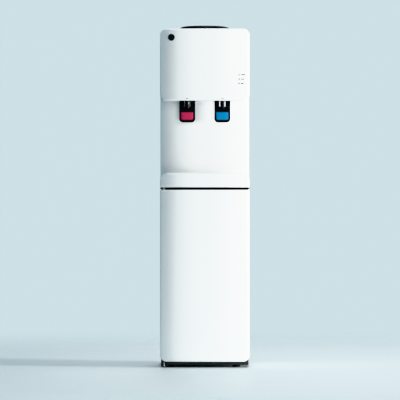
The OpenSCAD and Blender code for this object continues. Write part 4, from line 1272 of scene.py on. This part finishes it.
@dataclass
class Cooling(Assembly):
    """The condenser on the back and the machine below it."""

    tube_radius: float = 2.6 * MM
    wire_radius: float = 0.9 * MM
    runs: int = 9
    wires: int = 18
    pitch: float = 40 * MM
    shell_radius: float = 58 * MM
    seam_height: float = 70 * MM
    lip: float = 2 * MM
    cup_rise: float = 4 * MM
    cup_corner: float = 12 * MM
    foot_half: float = 46 * MM
    foot_corner: float = 10 * MM
    foot_height: float = 3 * MM
    foot_rim: float = 0.8 * MM
    stub_radius: float = 4 * MM
    stub_place: tuple[float, float] = (-20 * MM, 10 * MM)
    stub_depths: tuple[float, float] = (20 * MM, 2 * MM)

    def build(self) -> None:
        """Makes the condenser and the compressor."""
        self.condenser()
        self.compressor()

    def condenser(self) -> None:
        """A serpentine of level runs joined by half circles, with upright wires on both faces.

        Along a run x goes from one side to the other, and a bend is x = x0 + r cos a, z = z0 + r + r sin a.
        """
        box, bend = Box.of("condenser_tube"), self.pitch / 2
        y, first = box.middle[1], box.low[2] + self.tube_radius
        reach = box.high[0] - self.tube_radius - bend
        straight = np.linspace(-1, 1, 24) * reach
        angle = np.linspace(-np.pi / 2, np.pi / 2, 14)[1:-1]
        turn_x, turn_z = reach + bend * np.cos(angle), bend + bend * np.sin(angle)
        parts = []
        for i in range(self.runs):
            side, z = 1 - 2 * (i % 2), first + i * self.pitch
            parts += [xyz(side * straight, y, z), xyz(side * turn_x, y, z + turn_z)]
        line = tube(np.vstack(parts[:-1]), self.tube_radius, (0, 1, 0), 14)
        self.shop.piece("condenser_serpentine", line, "condenser_tube")
        wires, radius = Box.of("condenser_wires"), self.wire_radius
        foot, top, span = wires.low[2], wires.high[2], wires.high[0] - radius
        rod = revolved([(2 * PIN, foot), (radius, foot), (radius, top), (2 * PIN, top)], 10, 2)
        offset = self.tube_radius + radius
        rods = [rod.moved(x, y + side * offset) for side in (-1, 1) for x in np.linspace(-span, span, self.wires)]
        self.shop.piece("condenser_rods", joined(rods), "condenser_wires")

    def compressor(self) -> None:
        """A welded shell: a drawn cup and a domed lid with the seam's lip between, on its foot plate."""
        box, radius, lip = Box.of("compressor"), self.shell_radius, self.lip
        (x, y, _), base, top = box.middle, box.low[2], box.high[2]
        seam = base + self.seam_height
        angle = np.linspace(0, np.pi / 2 - 0.02, 16)
        dome = xyz(radius * np.cos(angle), seam + (top - seam) * np.sin(angle))
        bottom = base + self.cup_rise
        cup = smooth_profile([(2 * PIN, bottom), (radius - self.cup_corner, bottom),
                              (radius, bottom + self.cup_corner), (radius, seam - 6 * MM)], 3)
        shell = revolved([*cup, (radius, seam - 4 * MM), (radius + lip, seam - 3.6 * MM),
                          (radius + lip, seam - 0.4 * MM), *dome], 72)
        foot = plate(round_rectangle(box.half[0], self.foot_half, self.foot_corner), base, base + self.foot_height,
                     self.foot_rim)
        stub = xyz(*self.stub_place, np.linspace(*(top - depth for depth in self.stub_depths), 10))
        body = shell + foot + tube(stub, self.stub_radius, (0, 1, 0))
        self.shop.piece("compressor_shell", body.moved(x, y), "compressor")


# Rear fittings and feet


@dataclass
class Rockers(Assembly):
    """The two rockers at the back, each with a dished face that carries a plain white dash near its top."""

    reach: float = 8.6 * MM
    waist: float = 3.4 * MM
    dish: float = 2.6 * MM
    width: float = 14 * MM
    rim: float = 0.7 * MM
    curve: float = 1.7
    back_margin: float = 0.2 * MM
    mark_half: tuple[float, float] = (0.35 * MM, 1.5 * MM)
    mark_corner: float = 0.3 * MM
    mark_place: float = 5.0 * MM
    mark_proud: float = 0.12 * MM

    def face(self, up: np.ndarray) -> np.ndarray:
        """How far the face stands out from the pivot at a height: waist + dish (|up| / reach)^curve."""
        return self.waist + self.dish * (np.abs(up) / self.reach) ** self.curve

    def build(self) -> None:
        """Makes both rockers on their pivots: the dished face and a half round back as one outline, along X."""
        up, turn = np.linspace(self.reach, -self.reach, 33), np.linspace(0, np.pi, 25)
        back = xyz(-(self.reach + self.back_margin) * np.cos(turn), -self.reach * np.sin(turn))
        outline = np.vstack([xyz(up, self.face(up)), back])
        body = plate(outline, -self.width / 2, self.width / 2, self.rim).turned((2, 1, 0))
        dash = plate(round_rectangle(*self.mark_half, self.mark_corner, 3), -self.mark_corner, self.mark_proud,
                     0.04 * MM)
        across, along, height = dash.points.T
        place = self.mark_place + along
        mark = replace(dash, points=xyz(across, self.face(place) + height, place))
        for node in ("hot_switch", "cold_switch"):
            pivot = joint_of(f"{node}_rock")["pos_m"]
            self.shop.piece(f"{node}_rocker", body.moved(*pivot), node)
            self.shop.detail(f"{node}_mark", mark.moved(*pivot), node, "white_gloss")


@dataclass
class Fittings(Assembly):
    """The drain's cap and the feet."""

    knurls: int = 18
    knurl_depth: float = 0.03
    cap_start: float = 2 * MM
    cap_rounding: float = 1.2 * MM
    hose_radius: float = 5.2 * MM
    hose_depth: float = 3 * MM
    cap_rim: float = 1.5 * MM
    foot_radius: float = 14 * MM
    flutes: int = 16
    flute_depth: float = 0.04
    stud_radius: float = 5 * MM

    def build(self) -> None:
        """Makes the fittings."""
        self.drain_cap()
        self.feet()

    def drain_cap(self) -> None:
        """A cap with a knurled side: its radius is r (1 - k + k cos(n t))."""
        box = Box.of("drain_plug")
        (x, _, z), fore, back, radius = box.middle, box.low[1], box.high[1], box.half[0]
        turn = circle(144)
        knurl = radius * (1 - self.knurl_depth + self.knurl_depth * np.cos(self.knurls * turn))
        outline = xyz(knurl * np.cos(turn), knurl * np.sin(turn))
        cap = plate(outline, fore + self.cap_start, back, self.cap_rounding)
        collar = hoop(self.hose_radius, radius - self.cap_rim, fore, fore + self.hose_depth)
        self.shop.piece("drain_cap_knurled", (cap + collar).turned(LYING).moved(x, 0, z), "drain_plug")

    def feet(self) -> None:
        """Levelling feet with a fluted pad: its radius is r (1 - k max(cos(n t), 0))."""
        box, radius = Box.of("feet"), self.foot_radius
        turn = circle(96)
        profile = smooth_profile([(12 * MM, 0), (radius, 1 * MM), (radius, 6 * MM), (10 * MM, 9 * MM),
                                  (10 * MM, 17 * MM)], 2)
        flute = 1 - self.flute_depth * np.clip(np.cos(self.flutes * turn), 0, 1)
        across, up = profile[:, :1] * flute, profile[:, 1:]
        stud = revolved([(self.stud_radius, 16 * MM), (self.stud_radius, box.high[2])], 32)
        foot = lidded(xyz(across * np.cos(turn), across * np.sin(turn), up)) + stud
        feet = [foot.moved(x, y) for x in (box.low[0] + radius, box.high[0] - radius)
                for y in (box.low[1] + radius, box.high[1] - radius)]
        self.shop.piece("levelling_feet", joined(feet), "feet")


# Studio


@dataclass(frozen=True)
class Lamp:
    """A soft rectangular light: where it stands, what it faces, its width and height, watts and colour."""

    name: str
    place: tuple[float, float, float]
    aim: tuple[float, float, float]
    size: tuple[float, float]
    power: float
    tone: Colour

    def build(self) -> None:
        """Adds the light."""
        data = bpy.data.lights.new(self.name, "AREA")
        data.shape = "RECTANGLE"
        data.size, data.size_y = self.size
        data.energy = self.power
        data.color = self.tone
        light = placed(self.name, data)
        light.location = self.place
        light.rotation_euler = (Vector(self.aim) - Vector(self.place)).to_track_quat("-Z", "Y").to_euler()


@dataclass
class Studio:
    """Floor, lights, surroundings and camera."""

    camera_place: tuple[float, float, float] = (-0.0166, -10.175, 0.5814)
    lens: float = 260.2
    floor_tone: Colour = (0.51, 0.57, 0.59)
    floor_reach: float = 3.0
    fade_from: float = 0.6
    fade_to: float = 2.9
    seen_tone: Colour = (0.66, 0.80, 0.85)
    sky_tone: Colour = (0.42, 0.84, 1.0)
    sky_strength: float = 0.13
    lamps: tuple[Lamp, ...] = (
        Lamp("key", (6.18, -1.75, 0.72), (0, -0.1, 0.7), (1.0, 1.3), 1500.0, (1.0, 0.985, 0.96)),
        Lamp("low", (1.5, -5.9, -0.9), (0, -0.1, 0.75), (1.6, 1.4), 65.0, (1.0, 0.985, 0.96)),
        Lamp("high", (1.7, -5.7, 2.1), (0, -0.1, 0.85), (1.6, 1.4), 55.0, (1.0, 0.99, 0.97)),
        Lamp("rim", (-4.4, -0.8, 2.2), (0, 0, 1.4), (1.2, 2.4), 29.0, (0.32, 0.79, 1.0)),
        Lamp("side", (-4.2, 1.9, 2.4), (0, 0, 1.2), (2.0, 2.0), 25.0, (0.86, 0.95, 1.0)),
        Lamp("top", (0.3, -0.2, 8.0), (0, 0, 0.7), (5.0, 5.0), 400.0, (0.96, 0.985, 1.0)),
        Lamp("back", (0.4, 3.6, 2.6), (0, 0.1, 0.7), (2.0, 2.0), 60.0, (0.95, 0.98, 1.0)))

    def build(self) -> None:
        """Sets the scene up."""
        self.camera()
        self.floor()
        self.sky()
        for lamp in self.lamps:
            lamp.build()

    def camera(self) -> None:
        """A level camera with a long lens, straight in front of the body."""
        data = bpy.data.cameras.new("camera")
        data.lens = self.lens
        data.sensor_width = 36.0
        data.clip_end = 60.0
        camera = placed("camera", data)
        camera.location = self.camera_place
        camera.rotation_euler = (np.pi / 2, 0, 0)
        bpy.context.scene.camera = camera

    def floor(self) -> None:
        """A pale floor that fades out into the surroundings and lets the low lamp through."""
        finish = Finish("pale_floor", self.floor_tone, 0.5)
        graph = Graph(finish.name)
        tone = graph.tint(graph.noise(3.0, 4.0), finish.shade(1 - finish.drift), finish.shade(1 + finish.drift))
        spread = graph.value("ShaderNodeVectorMath", {0: graph.place}, "Value", operation="LENGTH")
        limits = {"From Min": self.fade_from, "From Max": self.fade_to, "To Min": 1.0, "To Max": 0.0}
        fade = graph.value("ShaderNodeMapRange", {"Value": spread, **limits}, interpolation_type="SMOOTHSTEP")
        graph.feed(graph.shader, {"Base Color": tone, "Roughness": finish.roughness, "Alpha": fade})
        disc = revolved([(radius, 0.0) for radius in np.linspace(0.02, self.floor_reach, 12)], 96)
        mesh = bpy.data.meshes.new("floor")
        mesh.from_pydata(disc.points.tolist(), [], [row.tolist() for face in disc.faces[:2] for row in face])
        mesh.materials.append(graph.material)
        stand = placed("floor", mesh)
        stand.visible_shadow = False

    def sky(self) -> None:
        """Even cool surroundings, paler to the camera than to the object, and a film with a soft shoulder."""
        world = bpy.data.worlds.new("surroundings")
        world.use_nodes = True
        tree = world.node_tree
        lit = tree.nodes["Background"]
        seen, path, mix = (tree.nodes.new(kind) for kind in
                           ("ShaderNodeBackground", "ShaderNodeLightPath", "ShaderNodeMixShader"))
        lit.inputs["Color"].default_value = (*self.sky_tone, 1.0)
        lit.inputs["Strength"].default_value = self.sky_strength
        seen.inputs["Color"].default_value = (*self.seen_tone, 1.0)
        for socket, source in enumerate((path.outputs["Is Camera Ray"], lit.outputs[0], seen.outputs[0])):
            tree.links.new(source, mix.inputs[socket])
        tree.links.new(mix.outputs[0], tree.nodes["World Output"].inputs["Surface"])
        bpy.context.scene.world = world
        bpy.context.scene.view_settings.view_transform = "Khronos PBR Neutral"


def main() -> None:
    """Builds every sub-assembly and the studio."""
    logging.basicConfig(level=logging.INFO, format="%(message)s")
    shop = Workshop()
    shop.dress_nodes()
    head = Fronts(shop).build()
    Indicators(shop, head).build()
    for assembly in (Edges, Casing, Taps, Collar, Door, Cooling, Rockers, Fittings):
        assembly(shop).build()
    Studio().build()


if __name__ == "__main__":
    main()
